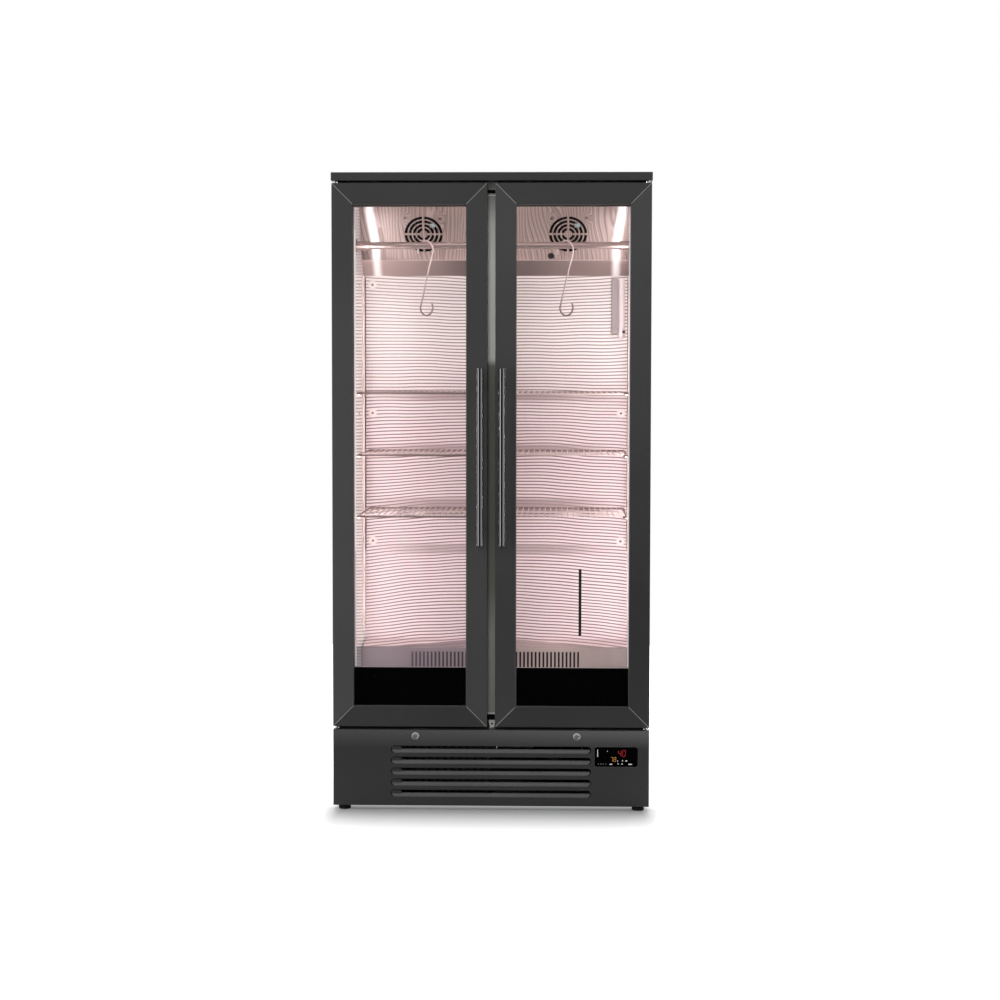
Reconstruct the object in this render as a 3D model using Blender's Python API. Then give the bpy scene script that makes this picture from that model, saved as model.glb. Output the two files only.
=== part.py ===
"""Dry ageing cabinet with two glass doors, modelled piece by piece.

Metres, +Z up. The doors face -Y. The origin is on the floor under the middle of the outline,
handles included. Run with: blender --background --python part.py
"""
import math

import bmesh
import bpy
from mathutils import Matrix, Vector

# Whole cabinet
WIDTH = 0.900                # across the top panel
HEIGHT = 1.800
DEPTH = 0.560                # from the door faces to the back edges of the side panels
HANDLE_REACH = 0.045         # how far the handles stand in front of the doors
FIT = 0.0003                 # gap between pieces that seat on each other
CUT = 0.004                  # how far a cutter runs past the face it opens
SHEET = 0.0012               # folded steel sheet
WALL = 0.045                 # insulated wall, outer sheet to liner
BODY_INSET = 0.006           # body sides stand this far inside the top panel
TOP_THICK = 0.023            # depth of the top panel's lips
TOP_ROUND = 0.003            # corner radius of the top panel in plan
BASE_CLEAR = 0.014           # underside of the base above the floor

# Doors as a pair
DOOR_INSET = 0.002           # door edges stand this far inside the top panel's sides
CENTRE_GAP = 0.0228          # gap between the two doors
GAP_ABOVE = 0.007
GAP_BELOW = 0.009
DOOR_THICK = 0.040
GASKET_SPACE = 0.012         # from the back of a door to the face of the body

# Places that follow from the sizes above
FRONT = HANDLE_REACH - (DEPTH + HANDLE_REACH) / 2
REAR = FRONT + DEPTH
CASE_FRONT = FRONT + DOOR_THICK + GASKET_SPACE
TOP_UNDER = HEIGHT - TOP_THICK
BODY_HALF = WIDTH / 2 - BODY_INSET
DOOR_OUTER = WIDTH / 2 - DOOR_INSET
DOOR_INNER = CENTRE_GAP / 2

# Kick panel, louvres and door locks
KICK_HEIGHT = 0.2164
KICK_ROUND = 0.002
LOUVRE_CLEAR = 0.009         # from the end of a louvre to the display
LOUVRE_HEIGHT = 0.0200
LOUVRE_PITCH = 0.0314
LOUVRE_DROP = 0.0456         # top edge of the first louvre below the top of the panel
LOUVRE_FOOT = 0.013          # plain strip kept under the last louvre and its web
LIP_DEPTH = 0.011            # how far a pressed lip leans in behind the panel
LIP_RISE = 0.0125            # how high a lip stands in its slot
LOCK_DROP = 0.0178           # lock axis below the top of the kick panel
LOCK_LEFT = -0.2139
LOCK_RIGHT = 0.2430
LOCK_HEAD_RADIUS = 0.0110
LOCK_HEAD_THICK = 0.0030
LOCK_FACE_SHARE = 0.8        # flat face of a lock's head, as a share of its radius
LOCK_BARREL_RADIUS = 0.0080
LOCK_BARREL_LENGTH = 0.0170
CAM_LENGTH = 0.0335          # from the lock axis to the tip of the cam
CAM_WIDTH = 0.012
CAM_THICK = 0.0025
CAM_CLEAR = 0.0015           # room around the cam in its slot and in the door's pocket

KICK_TOP = BASE_CLEAR + KICK_HEIGHT
LOUVRE_TOP = KICK_TOP - LOUVRE_DROP
LOUVRE_COUNT = int((KICK_HEIGHT - LOUVRE_DROP - LOUVRE_FOOT) / LOUVRE_PITCH)
LOCK_HEIGHT = KICK_TOP - LOCK_DROP
DOOR_BOTTOM = KICK_TOP + GAP_BELOW
DOOR_TOP = TOP_UNDER - GAP_ABOVE

# Controller in the kick panel
DISPLAY_WIDTH = 0.1240
DISPLAY_HEIGHT = 0.0580
DISPLAY_INSET = 0.0955       # middle of the display from the end of the cabinet
DISPLAY_DROP = 0.0739        # middle of the display below the top of the kick panel
DISPLAY_ROUND = 0.007
DISPLAY_PROUD = 0.0014
CONTROL_BODY_MARGIN = 0.005  # bezel overlap round the body behind it
CONTROL_BODY_DEPTH = 0.028

DISPLAY_CENTRE_X = WIDTH / 2 - DISPLAY_INSET
DISPLAY_CENTRE_Z = KICK_TOP - DISPLAY_DROP
LOUVRE_HALF = DISPLAY_CENTRE_X - DISPLAY_WIDTH / 2 - LOUVRE_CLEAR

# Cavity, liner and insulation
CAVITY_HALF = WIDTH / 2 - WALL
CAVITY_BACK = REAR - WALL
CAVITY_TOP = TOP_UNDER - WALL
DECK_RISE = 0.0051           # deck over the machine room, above the kick panel
DECK_TOP = KICK_TOP + DECK_RISE
CAVITY_FLOOR = DECK_TOP + WALL
LINER = 0.0010               # stainless liner sheet
FLANGE = 0.018               # liner flange turned out over the insulation
AIR_SLOT_X = 0.2556          # tall air slot in the back wall
AIR_SLOT_WIDTH = 0.0090
AIR_SLOT_RISE = 0.1555       # from the cavity's floor to the slot
AIR_SLOT_LENGTH = 0.207
AIR_SLOT_LOW = CAVITY_FLOOR + AIR_SLOT_RISE
AIR_SLOT_HIGH = AIR_SLOT_LOW + AIR_SLOT_LENGTH
AIR_SLOT_DEPTH = 0.012
SILL_DROP = 0.0155           # how far the sill face hangs below the deck
REAR_PANEL_INSET = 0.004     # rear panel stands this far inside the side panels' edges

# Base pan and feet
PAN_THICK = 0.002
PAN_FLANGE = 0.022
FOOT_RADIUS = 0.0175
FOOT_ROUND = 0.003
FOOT_STEM_RADIUS = 0.005
FOOT_STEM_LENGTH = 0.018     # stem above the foot disc
FOOT_INSET = 0.0325          # foot axis from the end of the cabinet
FOOT_X = WIDTH / 2 - FOOT_INSET
FOOT_FRONT_SETBACK = 0.027   # foot axis behind the door faces
FOOT_REAR_SETBACK = 0.040

# Rear panel openings
VENT_COUNT = 6
VENT_WIDTH = 0.24
VENT_HEIGHT = 0.006
VENT_PITCH = 0.020
VENT_LOW = 0.062
GLAND_INSET = 0.114          # gland axis from the side of the body
GLAND_X = BODY_HALF - GLAND_INSET
GLAND_Z = 0.080
GLAND_RADIUS = 0.011
GLAND_BORE = 0.0045
GLAND_PROUD = 0.003
GLAND_DEPTH = 0.012

# Centre mullion
MULLION_HALF = 0.030
MULLION_BODY_HALF = 0.024
MULLION_DEPTH = 0.018

# Door frame profile
FRAME_FACE = 0.0595          # width of the frame seen from the front
FRAME_WEB = 0.046            # width of the bar behind the glass lip
FRAME_LIP = 0.005            # thickness of the lip in front of the glass
FRAME_WALL = 0.002           # wall of the hollow extrusion
FRAME_CHAMFER = 0.0012
FRAME_BEVEL = 0.0025
FRAME_JOINT = 0.0002         # half the gap left along each mitre
GROOVE_OFFSET = 0.024        # gasket groove, from the door's edge
GROOVE_WIDTH = 0.005
GROOVE_DEPTH = 0.005

# Glass unit
PANE = 0.004
GLASS_SPACE = 0.012          # gas space between the panes
SPACER = 0.010               # width of the edge spacer
PORT_RADIUS = 0.002          # filling port through the spacer

# Gasket
GASKET_OFFSET = 0.014        # outer edge of the gasket, from the door's edge
GASKET_WIDTH = 0.026
GASKET_ROLL = 0.004          # rounded shoulders of the bellows
GASKET_DART = 0.004          # dart pushed into the groove
GASKET_DART_WIDTH = 0.003

# Hinges
HINGE_INSET = 0.012          # pin axis from the door's outer edge
HINGE_SETBACK = 0.020        # pin axis behind the door's face
PIN_RADIUS = 0.003
PIN_CLEAR = 0.0003
PIN_REACH = 0.0065           # pin length inside the door
PIN_HOLE = 0.0072
BUSH_RADIUS = 0.0065
BRACKET_THICK = 0.003
BRACKET_NOSE = 0.0095        # radius of the bracket's nose round the pin
BRACKET_SPAN = 0.044         # inner end of a bracket from the door's outer edge
BRACKET_LEG = 0.016          # leg that screws to the body's face
BRACKET_CLEAR = 0.0003

# Handles
HANDLE_RADIUS = 0.009
HANDLE_LENGTH = 0.501
HANDLE_DROP = 0.0012         # middle of the handle below the middle of the door
HANDLE_FROM_EDGE = 0.0195    # handle axis from the door's inner edge
HANDLE_END_ROUND = 0.002
POST_RADIUS = 0.006
POST_INSET = 0.054           # post axis from the end of the bar
ROSETTE_RADIUS = 0.0095
ROSETTE_THICK = 0.0025
HANDLE_MIDDLE = (DOOR_BOTTOM + DOOR_TOP) / 2 - HANDLE_DROP
HANDLE_LOW = HANDLE_MIDDLE - HANDLE_LENGTH / 2
HANDLE_HIGH = HANDLE_MIDDLE + HANDLE_LENGTH / 2

# Air cooler under the ceiling
COOLER_DEPTH = 0.100         # middle of a fan in front of the back wall
COOLER_LEAN = math.radians(27)    # the face leans out at the top by this much
COOLER_SIDE = 0.0065         # end of the cover from the liner's side
COOLER_BEND_DROP = 0.1537    # below the ceiling, where the face turns into the underside
COOLER_LOW_DROP = 0.198      # back end of the underside
COOLER_SHEET = 0.0012
FAN_X = 0.2157
FAN_DROP = 0.0785
GRILLE_RADII = (0.0129, 0.0249, 0.0370, 0.0493)   # inner radius of each ring of slots
GRILLE_SLOT = 0.0066         # radial width of a slot
GRILLE_RIB = 0.0032          # half the width of the cross ribs
PROBE_X = 0.1646
PROBE_DROP = 0.0703          # probe hole below the fans' middles, along the face
PROBE_RADIUS = 0.008
COIL_SIDE = 0.0585           # end of the coil from the end of the cover
COIL_DEPTH = 0.034
COIL_DROP = 0.016            # top of the coil below the ceiling
COIL_HEIGHT = 0.112
COIL_FINS = 18

COOLER_HALF = CAVITY_HALF - COOLER_SIDE
COOLER_BEND = CAVITY_TOP - COOLER_BEND_DROP
COOLER_LOW = CAVITY_TOP - COOLER_LOW_DROP
FAN_Z = CAVITY_TOP - FAN_DROP
COIL_HALF = COOLER_HALF - COIL_SIDE
COIL_HIGH = CAVITY_TOP - COIL_DROP
COIL_LOW = COIL_HIGH - COIL_HEIGHT

# Fans
COOLER_FAN = 0.056           # blade tip radius of the cooler fans
CONDENSER_FAN = 0.076
FAN_BLADES = 5
FAN_HUB_SHARE = 0.30         # hub radius as a share of the tip radius
BLADE_ROOT_SHARE = 0.8       # how far a blade's root stands from the axis, as a share of the hub
FAN_CHORD_SHARE = 0.30       # blade depth as a share of the tip radius
FAN_SWEEP = 0.90             # angle that a blade covers, radians
BLADE_THICK = 0.0014
TIP_CLEAR = 0.004
RING_WALL = 0.004
RING_DEPTH = 0.008
STRUT_WIDTH = 0.006
STRUT_THICK = 0.003
STRUT_GAP = 0.002            # between the rotor and the struts
MOTOR_RADIUS_SHARE = 0.36
MOTOR_LENGTH = 0.022
SHAFT_RADIUS = 0.0025
SHAFT_CLEAR = 0.0003

# Hanging rail and hooks
RAIL_OUT = 0.235             # rail axis in front of the back wall
RAIL_DROP = 0.120            # rail axis below the ceiling
RAIL_RADIUS = 0.0103
RAIL_COLLAR_RADIUS = 0.013
RAIL_COLLAR = 0.040
RAIL_FLANGE_RADIUS = 0.019
RAIL_FLANGE = 0.003
HOOK_WIRE = 0.0025
HOOK_LEFT = -0.2018
HOOK_RIGHT = 0.2075
HOOK_TOP_RADIUS = 0.029
HOOK_LOW_RADIUS = 0.0235
HOOK_LENGTH = 0.2180         # top of the wire's middle line to the bottom of it
HOOK_TURN = math.radians(53) # how far the hook's plane is turned from the rail's cross-section
HOOK_TIP_ANGLE = math.radians(20)
HOOK_LIFT = 0.0009           # lets the slanting loop clear the round rail on both sides
HOOK_SWAY = 0.004            # lower bend's middle beside the rail's middle

RAIL_Y = CAVITY_BACK - RAIL_OUT
RAIL_Z = CAVITY_TOP - RAIL_DROP

# Shelf uprights and shelves
UPRIGHT_WIDTH = 0.016
UPRIGHT_PROUD = 0.008
UPRIGHT_SHEET = 0.0012
UPRIGHT_RISE = 0.1895        # lower end above the cavity's floor
UPRIGHT_DROP = 0.204         # upper end below the ceiling
UPRIGHT_FRONT_SETBACK = 0.115
UPRIGHT_BACK_GAP = 0.047     # middle of a rear upright in front of the back wall
UPRIGHT_SLOTS = 10
UPRIGHT_SLOT_WIDTH = 0.005
UPRIGHT_SLOT_HEIGHT = 0.014
CLIP_REACH = 0.016
CLIP_THICK = 0.003
CLIP_WIDTH = 0.010
SHELF_DROPS = (0.5469, 0.7238, 0.8992)    # tops of the shelves below the ceiling
SHELF_SIDE = 0.017           # end of a shelf from the liner's side
SHELF_FRONT_SETBACK = 0.085
SHELF_BACK_GAP = 0.018
SHELF_ROD = 0.006
SHELF_WIRE = 0.003
SHELF_WIRE_PITCH = 0.0166

UPRIGHT_LOW = CAVITY_FLOOR + UPRIGHT_RISE
UPRIGHT_HIGH = CAVITY_TOP - UPRIGHT_DROP
SHELF_TOPS = tuple(CAVITY_TOP - drop for drop in SHELF_DROPS)
SHELF_HALF = CAVITY_HALF - SHELF_SIDE

# Lights
LED_PROUD = 0.0180           # from the liner's side wall
LED_DEPTH = 0.018
LED_SETBACK = 0.004          # behind the face of the body
LED_RISE = 0.0195            # lower end above the cavity's floor
LED_DROP = 0.016             # upper end below the ceiling
LED_NOSE = 0.004
LAMP_SIDE = 0.0168           # from the liner's side to the lamp's tube cover
LAMP_TUBE_WIDTH = 0.0172
LAMP_HOLDER_WIDTH = 0.0230
LAMP_DROP = 0.208            # top of the lamp below the ceiling
LAMP_LENGTH = 0.179
LAMP_HOLDER_LENGTH = 0.164
LAMP_DEPTH = 0.030

LED_LOW = CAVITY_FLOOR + LED_RISE
LED_HIGH = CAVITY_TOP - LED_DROP
LAMP_RIGHT = CAVITY_HALF - LAMP_SIDE
LAMP_SPLIT = LAMP_RIGHT - LAMP_TUBE_WIDTH
LAMP_LEFT = LAMP_SPLIT - LAMP_HOLDER_WIDTH
LAMP_HIGH = CAVITY_TOP - LAMP_DROP
LAMP_LOW = LAMP_HIGH - LAMP_LENGTH
LAMP_HOLDER_LOW = LAMP_HIGH - LAMP_HOLDER_LENGTH

# Return air cover at the foot of the back wall
RETURN_DEPTH = 0.120         # face in front of the back wall
RETURN_SIDE = 0.0065         # end of the cover from the liner's side
RETURN_HEIGHT = 0.1345       # shoulder above the cavity's floor
RETURN_RISE = 0.0130         # fall of the sloping top, from the back wall to the shoulder
RETURN_SLOT_BELOW = 0.0120   # top of a slot below the shoulder
RETURN_SLOT_HEIGHT = 0.0470
RETURN_SLOT_WIDTH = 0.0056
RETURN_SLOT_PITCH = 0.0116
RETURN_SLOT_SPAN = 0.2500    # half the width of the field of slots

RETURN_HALF = CAVITY_HALF - RETURN_SIDE
RETURN_SHOULDER = CAVITY_FLOOR + RETURN_HEIGHT
RETURN_HIGH = RETURN_SHOULDER + RETURN_RISE
RETURN_SLOT_HIGH = RETURN_SHOULDER - RETURN_SLOT_BELOW
RETURN_SLOT_LOW = RETURN_SLOT_HIGH - RETURN_SLOT_HEIGHT

# Refrigeration in the machine room
CONDENSER_LEFT = -0.300
CONDENSER_WIDTH = 0.300
CONDENSER_HEIGHT = 0.180
CONDENSER_DEPTH = 0.040
CONDENSER_SETBACK = 0.068    # face behind the door faces
CONDENSER_FINS = 14
SHROUD_DEPTH = 0.024
SHROUD_SHEET = 0.0015
COMPRESSOR_X = 0.190
COMPRESSOR_SETIN = 0.2125    # compressor's axis in front of the back edges
COMPRESSOR_Y = REAR - COMPRESSOR_SETIN
COMPRESSOR_RADIUS = 0.074
COMPRESSOR_HEIGHT = 0.165
COMPRESSOR_PLATE_X = 0.100   # half length of the mounting plate
COMPRESSOR_PLATE_Y = 0.060
COMPRESSOR_PLATE_THICK = 0.003
GROMMET_RADIUS = 0.010
GROMMET_HEIGHT = 0.010
TERMINAL_BOX = (0.036, 0.050, 0.060)


for leftover in list(bpy.data.objects):
    bpy.data.objects.remove(leftover, do_unlink=True)


def paint(name, colour, roughness, metallic=0.0, alpha=1.0):
    """A Principled material with one colour, roughness and metallic value."""
    material = bpy.data.materials.new(name)
    material.use_nodes = True
    shader = material.node_tree.nodes["Principled BSDF"]
    shader.inputs["Base Color"].default_value = (*colour, 1.0)
    shader.inputs["Roughness"].default_value = roughness
    shader.inputs["Metallic"].default_value = metallic
    shader.inputs["Alpha"].default_value = alpha
    return material


PAINTED = paint("painted_steel", (0.040, 0.040, 0.041), 0.45)
STAINLESS = paint("stainless", (0.62, 0.56, 0.56), 0.28, 1.0)
ZINC = paint("zinc_steel", (0.48, 0.48, 0.48), 0.45, 1.0)
CHROME = paint("chrome", (0.60, 0.60, 0.60), 0.12, 1.0)
ALUMINIUM = paint("aluminium", (0.30, 0.30, 0.28), 0.40, 1.0)
FOAM = paint("foam", (0.75, 0.68, 0.45), 0.95)
RUBBER = paint("rubber", (0.015, 0.015, 0.015), 0.75)
BLACK_PLASTIC = paint("black_plastic", (0.012, 0.012, 0.012), 0.35)
GREY_PLASTIC = paint("grey_plastic", (0.45, 0.42, 0.42), 0.40)
LIGHT_COVER = paint("light_cover", (0.95, 0.90, 0.90), 0.30)
GLASS = paint("glass", (0.80, 0.85, 0.84), 0.02, 0.0, 0.25)


def place(axis, first, second, along):
    """World point from two cross-section values and the distance along an axis."""
    if axis == "x":
        return Vector((along, first, second))
    if axis == "y":
        return Vector((first, along, second))
    return Vector((first, second, along))


def add_prism(mesh, outline, axis, start, end):
    """Outline in the plane across the axis, extruded from start to end."""
    points = [mesh.verts.new(place(axis, first, second, start)) for first, second in outline]
    face = mesh.faces.new(points)
    grown = bmesh.ops.extrude_face_region(mesh, geom=[face])
    moved = [item for item in grown["geom"] if isinstance(item, bmesh.types.BMVert)]
    bmesh.ops.translate(mesh, vec=place(axis, 0, 0, end - start), verts=moved)


def add_box(mesh, low, high):
    """Axis-aligned box between two corners."""
    outline = [(low[0], low[1]), (high[0], low[1]), (high[0], high[1]), (low[0], high[1])]
    add_prism(mesh, outline, "z", low[2], high[2])


def circle(middle, radius, sides, turn=0.0):
    """Points of a regular outline."""
    step = 2 * math.pi / sides
    return [(middle[0] + radius * math.cos(turn + step * i),
             middle[1] + radius * math.sin(turn + step * i)) for i in range(sides)]


def arc(middle, radius, start, end, steps):
    """Points along an arc, both ends included."""
    return [(middle[0] + radius * math.cos(start + (end - start) * i / steps),
             middle[1] + radius * math.sin(start + (end - start) * i / steps))
            for i in range(steps + 1)]


def rounded_box(low, high, radius, steps):
    """Rectangle outline with round corners."""
    quarter = math.pi / 2
    corners = [((high[0] - radius, high[1] - radius), 0.0),
               ((low[0] + radius, high[1] - radius), quarter),
               ((low[0] + radius, low[1] + radius), 2 * quarter),
               ((high[0] - radius, low[1] + radius), 3 * quarter)]
    points = []
    for middle, start in corners:
        points += arc(middle, radius, start, start + quarter, steps)
    return points


def add_turned(mesh, profile, axis, middle, sides):
    """Profile of (radius, distance along the axis) pairs, spun into a solid of revolution."""
    centre = place(axis, middle[0], middle[1], 0)
    line = [mesh.verts.new(place(axis, middle[0] + radius, middle[1], along))
            for radius, along in profile]
    edges = [mesh.edges.new((line[i], line[i + 1])) for i in range(len(line) - 1)]
    bmesh.ops.spin(mesh, geom=line + edges, cent=centre, axis=place(axis, 0, 0, 1),
                   angle=2 * math.pi, steps=sides, use_merge=True)
    bmesh.ops.remove_doubles(mesh, verts=mesh.verts, dist=FIT / 100)


def piece(name, mesh, material, smooth=None):
    """Turn a bmesh into a named object, with its faces outward."""
    bmesh.ops.recalc_face_normals(mesh, faces=mesh.faces)
    data = bpy.data.meshes.new(name)
    mesh.to_mesh(data)
    mesh.free()
    data.materials.append(material)
    if smooth:
        data.shade_smooth()
        data.set_sharp_from_angle(angle=smooth)
    thing = bpy.data.objects.new(name, data)
    bpy.context.scene.collection.objects.link(thing)
    return thing


def leaned(mesh, pivot, angle):
    """Turn a bmesh about a line through the pivot that runs from left to right."""
    bmesh.ops.rotate(mesh, cent=pivot, matrix=Matrix.Rotation(angle, 3, "X"), verts=mesh.verts)
    return mesh


def tool(name, mesh):
    """A guide object that only shapes others."""
    guide = piece(name, mesh, PAINTED)
    guide.hide_render = True
    guide.display_type = "WIRE"
    return guide


def cut(thing, mesh):
    """Take the bmesh's shapes out of a piece."""
    boolean = thing.modifiers.new("cut", "BOOLEAN")
    boolean.operation = "DIFFERENCE"
    boolean.solver = "EXACT"
    boolean.object = tool(thing.name + "_cutter", mesh)


def weld(thing, mesh):
    """Join the bmesh's shapes to a piece as one solid."""
    boolean = thing.modifiers.new("weld", "BOOLEAN")
    boolean.operation = "UNION"
    boolean.solver = "EXACT"
    boolean.object = tool(thing.name + "_addition", mesh)


def carry(name, position, things):
    """Parent pieces to an empty that stands on their joint's axis."""
    pivot = bpy.data.objects.new(name, None)
    pivot.location = position
    bpy.context.scene.collection.objects.link(pivot)
    for thing in things:
        thing.parent = pivot
        thing.matrix_parent_inverse = Matrix.Translation(position).inverted()
    return pivot


ROUND = math.radians(40)


# Body of the cabinet

def top_panel():
    """Folded lid: a deck with lips all round, and a closed channel over the doors."""
    mesh = bmesh.new()
    half = WIDTH / 2
    add_prism(mesh, rounded_box((-half, FRONT), (half, REAR), TOP_ROUND, 2), "z", TOP_UNDER, HEIGHT)
    rim = [edge for edge in mesh.edges
           if all(vert.co.z > HEIGHT - FIT for vert in edge.verts)]
    bmesh.ops.bevel(mesh, geom=rim, offset=SHEET, segments=1, affect="EDGES")
    lid = piece("top_panel", mesh, PAINTED)
    hollow = bmesh.new()
    inner = half - SHEET
    outline = [(CASE_FRONT, TOP_UNDER - CUT), (REAR - SHEET, TOP_UNDER - CUT),
               (REAR - SHEET, HEIGHT - SHEET), (FRONT + SHEET, HEIGHT - SHEET),
               (FRONT + SHEET, TOP_UNDER + SHEET), (CASE_FRONT, TOP_UNDER + SHEET)]
    add_prism(hollow, outline, "x", -inner, inner)
    cut(lid, hollow)
    return lid


def side_panel(name, side):
    """Steel side with its front edge folded in to make the sealing face."""
    mesh = bmesh.new()
    outer = side * BODY_HALF
    inner = side * (BODY_HALF - SHEET)
    lip = side * (CAVITY_HALF + FLANGE)
    outline = [(outer, CASE_FRONT), (outer, REAR), (inner, REAR),
               (inner, CASE_FRONT + SHEET), (lip, CASE_FRONT + SHEET), (lip, CASE_FRONT)]
    add_prism(mesh, outline, "z", BASE_CLEAR, TOP_UNDER - FIT)
    panel = piece(name, mesh, PAINTED)
    notch = bmesh.new()
    edges = sorted((inner, lip - side * CUT))
    add_box(notch, (edges[0], CASE_FRONT - CUT, BASE_CLEAR - CUT),
            (edges[1], CASE_FRONT + SHEET + CUT, BASE_CLEAR + PAN_FLANGE + FIT))
    cut(panel, notch)
    return panel


def rear_panel():
    """Flat back with two fields of vents for the machine room and a gland for the lead."""
    back = REAR - REAR_PANEL_INSET
    half = BODY_HALF - SHEET - FIT
    mesh = bmesh.new()
    add_box(mesh, (-half, back - SHEET, BASE_CLEAR), (half, back, TOP_UNDER - FIT))
    panel = piece("rear_panel", mesh, ZINC)
    boss = bmesh.new()
    profile = [(0, back - GLAND_DEPTH), (GLAND_RADIUS * 0.8, back - GLAND_DEPTH),
               (GLAND_RADIUS * 0.8, back - SHEET / 2), (GLAND_RADIUS, back - SHEET / 2),
               (GLAND_RADIUS, back + GLAND_PROUD), (0, back + GLAND_PROUD)]
    add_turned(boss, profile, "y", (GLAND_X, GLAND_Z), 16)
    weld(panel, boss)
    holes = bmesh.new()
    for middle in (-VENT_WIDTH, VENT_WIDTH / 2):
        for row in range(VENT_COUNT):
            low = VENT_LOW + row * VENT_PITCH
            add_box(holes, (middle - VENT_WIDTH / 2, back - SHEET - CUT, low),
                    (middle + VENT_WIDTH / 2, back + CUT, low + VENT_HEIGHT))
    add_prism(holes, circle((GLAND_X, GLAND_Z), GLAND_BORE, 12), "y",
              back - GLAND_DEPTH - CUT, back + GLAND_PROUD + CUT)
    cut(panel, holes)
    return panel


def base_pan():
    """Tray that carries the machinery and takes the stems of the feet."""
    half = DOOR_OUTER - SHEET - FIT
    front = FRONT + SHEET + FIT
    back = REAR - REAR_PANEL_INSET - SHEET - FIT
    mesh = bmesh.new()
    add_box(mesh, (-half, front, BASE_CLEAR), (half, CASE_FRONT - FIT, BASE_CLEAR + PAN_FLANGE))
    pan = piece("base_pan", mesh, ZINC)
    narrow = BODY_HALF - SHEET - FIT
    rest = bmesh.new()
    add_box(rest, (-narrow, front + SHEET, BASE_CLEAR), (narrow, back, BASE_CLEAR + PAN_FLANGE))
    weld(pan, rest)
    hollow = bmesh.new()
    floor = BASE_CLEAR + PAN_THICK
    wide = half - PAN_THICK
    slim = narrow - PAN_THICK
    outline = [(-wide, front + PAN_THICK), (wide, front + PAN_THICK),
               (wide, CASE_FRONT - PAN_THICK - FIT), (slim, CASE_FRONT - PAN_THICK - FIT),
               (slim, back - PAN_THICK), (-slim, back - PAN_THICK),
               (-slim, CASE_FRONT - PAN_THICK - FIT), (-wide, CASE_FRONT - PAN_THICK - FIT)]
    add_prism(hollow, outline, "z", floor, BASE_CLEAR + PAN_FLANGE + CUT)
    cut(pan, hollow)
    holes = bmesh.new()
    for x, y in foot_places():
        add_prism(holes, circle((x, y), FOOT_STEM_RADIUS + FIT, 12), "z",
                  BASE_CLEAR - CUT, floor + CUT)
    cut(pan, holes)
    return pan


def foot_places():
    """Axes of the four feet."""
    rows = (FRONT + FOOT_FRONT_SETBACK, REAR - FOOT_REAR_SETBACK)
    return [(side * FOOT_X, y) for y in rows for side in (-1, 1)]


def feet():
    """Black levelling feet: a soft-edged disc on a threaded stem."""
    names = ("foot_front_left", "foot_front_right", "foot_rear_left", "foot_rear_right")
    disc = BASE_CLEAR - FIT
    for name, (x, y) in zip(names, foot_places()):
        edge = arc((FOOT_RADIUS - FOOT_ROUND, FOOT_ROUND), FOOT_ROUND, -math.pi / 2, 0.0, 1)
        profile = [(0, 0), *edge, (FOOT_RADIUS, disc - SHEET), (FOOT_RADIUS - SHEET, disc),
                   (FOOT_STEM_RADIUS, disc), (FOOT_STEM_RADIUS, disc + FOOT_STEM_LENGTH),
                   (0, disc + FOOT_STEM_LENGTH)]
        mesh = bmesh.new()
        add_turned(mesh, profile, "z", (x, y), 14)
        piece(name, mesh, RUBBER, ROUND)


def sill_deck():
    """One folded sheet: the painted sill under the doors and the deck over the machine room."""
    half = CAVITY_HALF + FLANGE - FIT
    sill_top = CAVITY_FLOOR - FLANGE - FIT
    back = REAR - REAR_PANEL_INSET - SHEET - FIT
    outline = [(CASE_FRONT, DECK_TOP - SILL_DROP), (CASE_FRONT + SHEET, DECK_TOP - SILL_DROP),
               (CASE_FRONT + SHEET, DECK_TOP - SHEET), (back, DECK_TOP - SHEET), (back, DECK_TOP),
               (CASE_FRONT + SHEET, DECK_TOP), (CASE_FRONT + SHEET, sill_top),
               (CASE_FRONT, sill_top)]
    mesh = bmesh.new()
    add_prism(mesh, outline, "x", -half, half)
    return piece("sill_deck", mesh, PAINTED)


def door_header():
    """Painted strip above the opening."""
    half = CAVITY_HALF + FLANGE - FIT
    mesh = bmesh.new()
    add_box(mesh, (-half, CASE_FRONT, CAVITY_TOP + FLANGE + FIT),
            (half, CASE_FRONT + SHEET, TOP_UNDER - FIT))
    return piece("door_header", mesh, PAINTED)


def insulation():
    """Foamed-in-place body between the outer sheets and the liner, open at the front."""
    half = BODY_HALF - SHEET - FIT
    front = CASE_FRONT + SHEET + FIT
    back = REAR - REAR_PANEL_INSET - SHEET - FIT
    mesh = bmesh.new()
    add_box(mesh, (-half, front, DECK_TOP + FIT), (half, back, HEIGHT - SHEET - FIT))
    foam = piece("insulation", mesh, FOAM)
    skin = LINER + FIT
    room = bmesh.new()
    add_box(room, (-CAVITY_HALF - skin, front - CUT, CAVITY_FLOOR - skin),
            (CAVITY_HALF + skin, CAVITY_BACK + skin, CAVITY_TOP + skin))
    cut(foam, room)
    recess = bmesh.new()
    add_box(recess, (AIR_SLOT_X - AIR_SLOT_WIDTH / 2, CAVITY_BACK - CUT, AIR_SLOT_LOW),
            (AIR_SLOT_X + AIR_SLOT_WIDTH / 2, CAVITY_BACK + AIR_SLOT_DEPTH, AIR_SLOT_HIGH))
    cut(foam, recess)
    return foam


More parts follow.
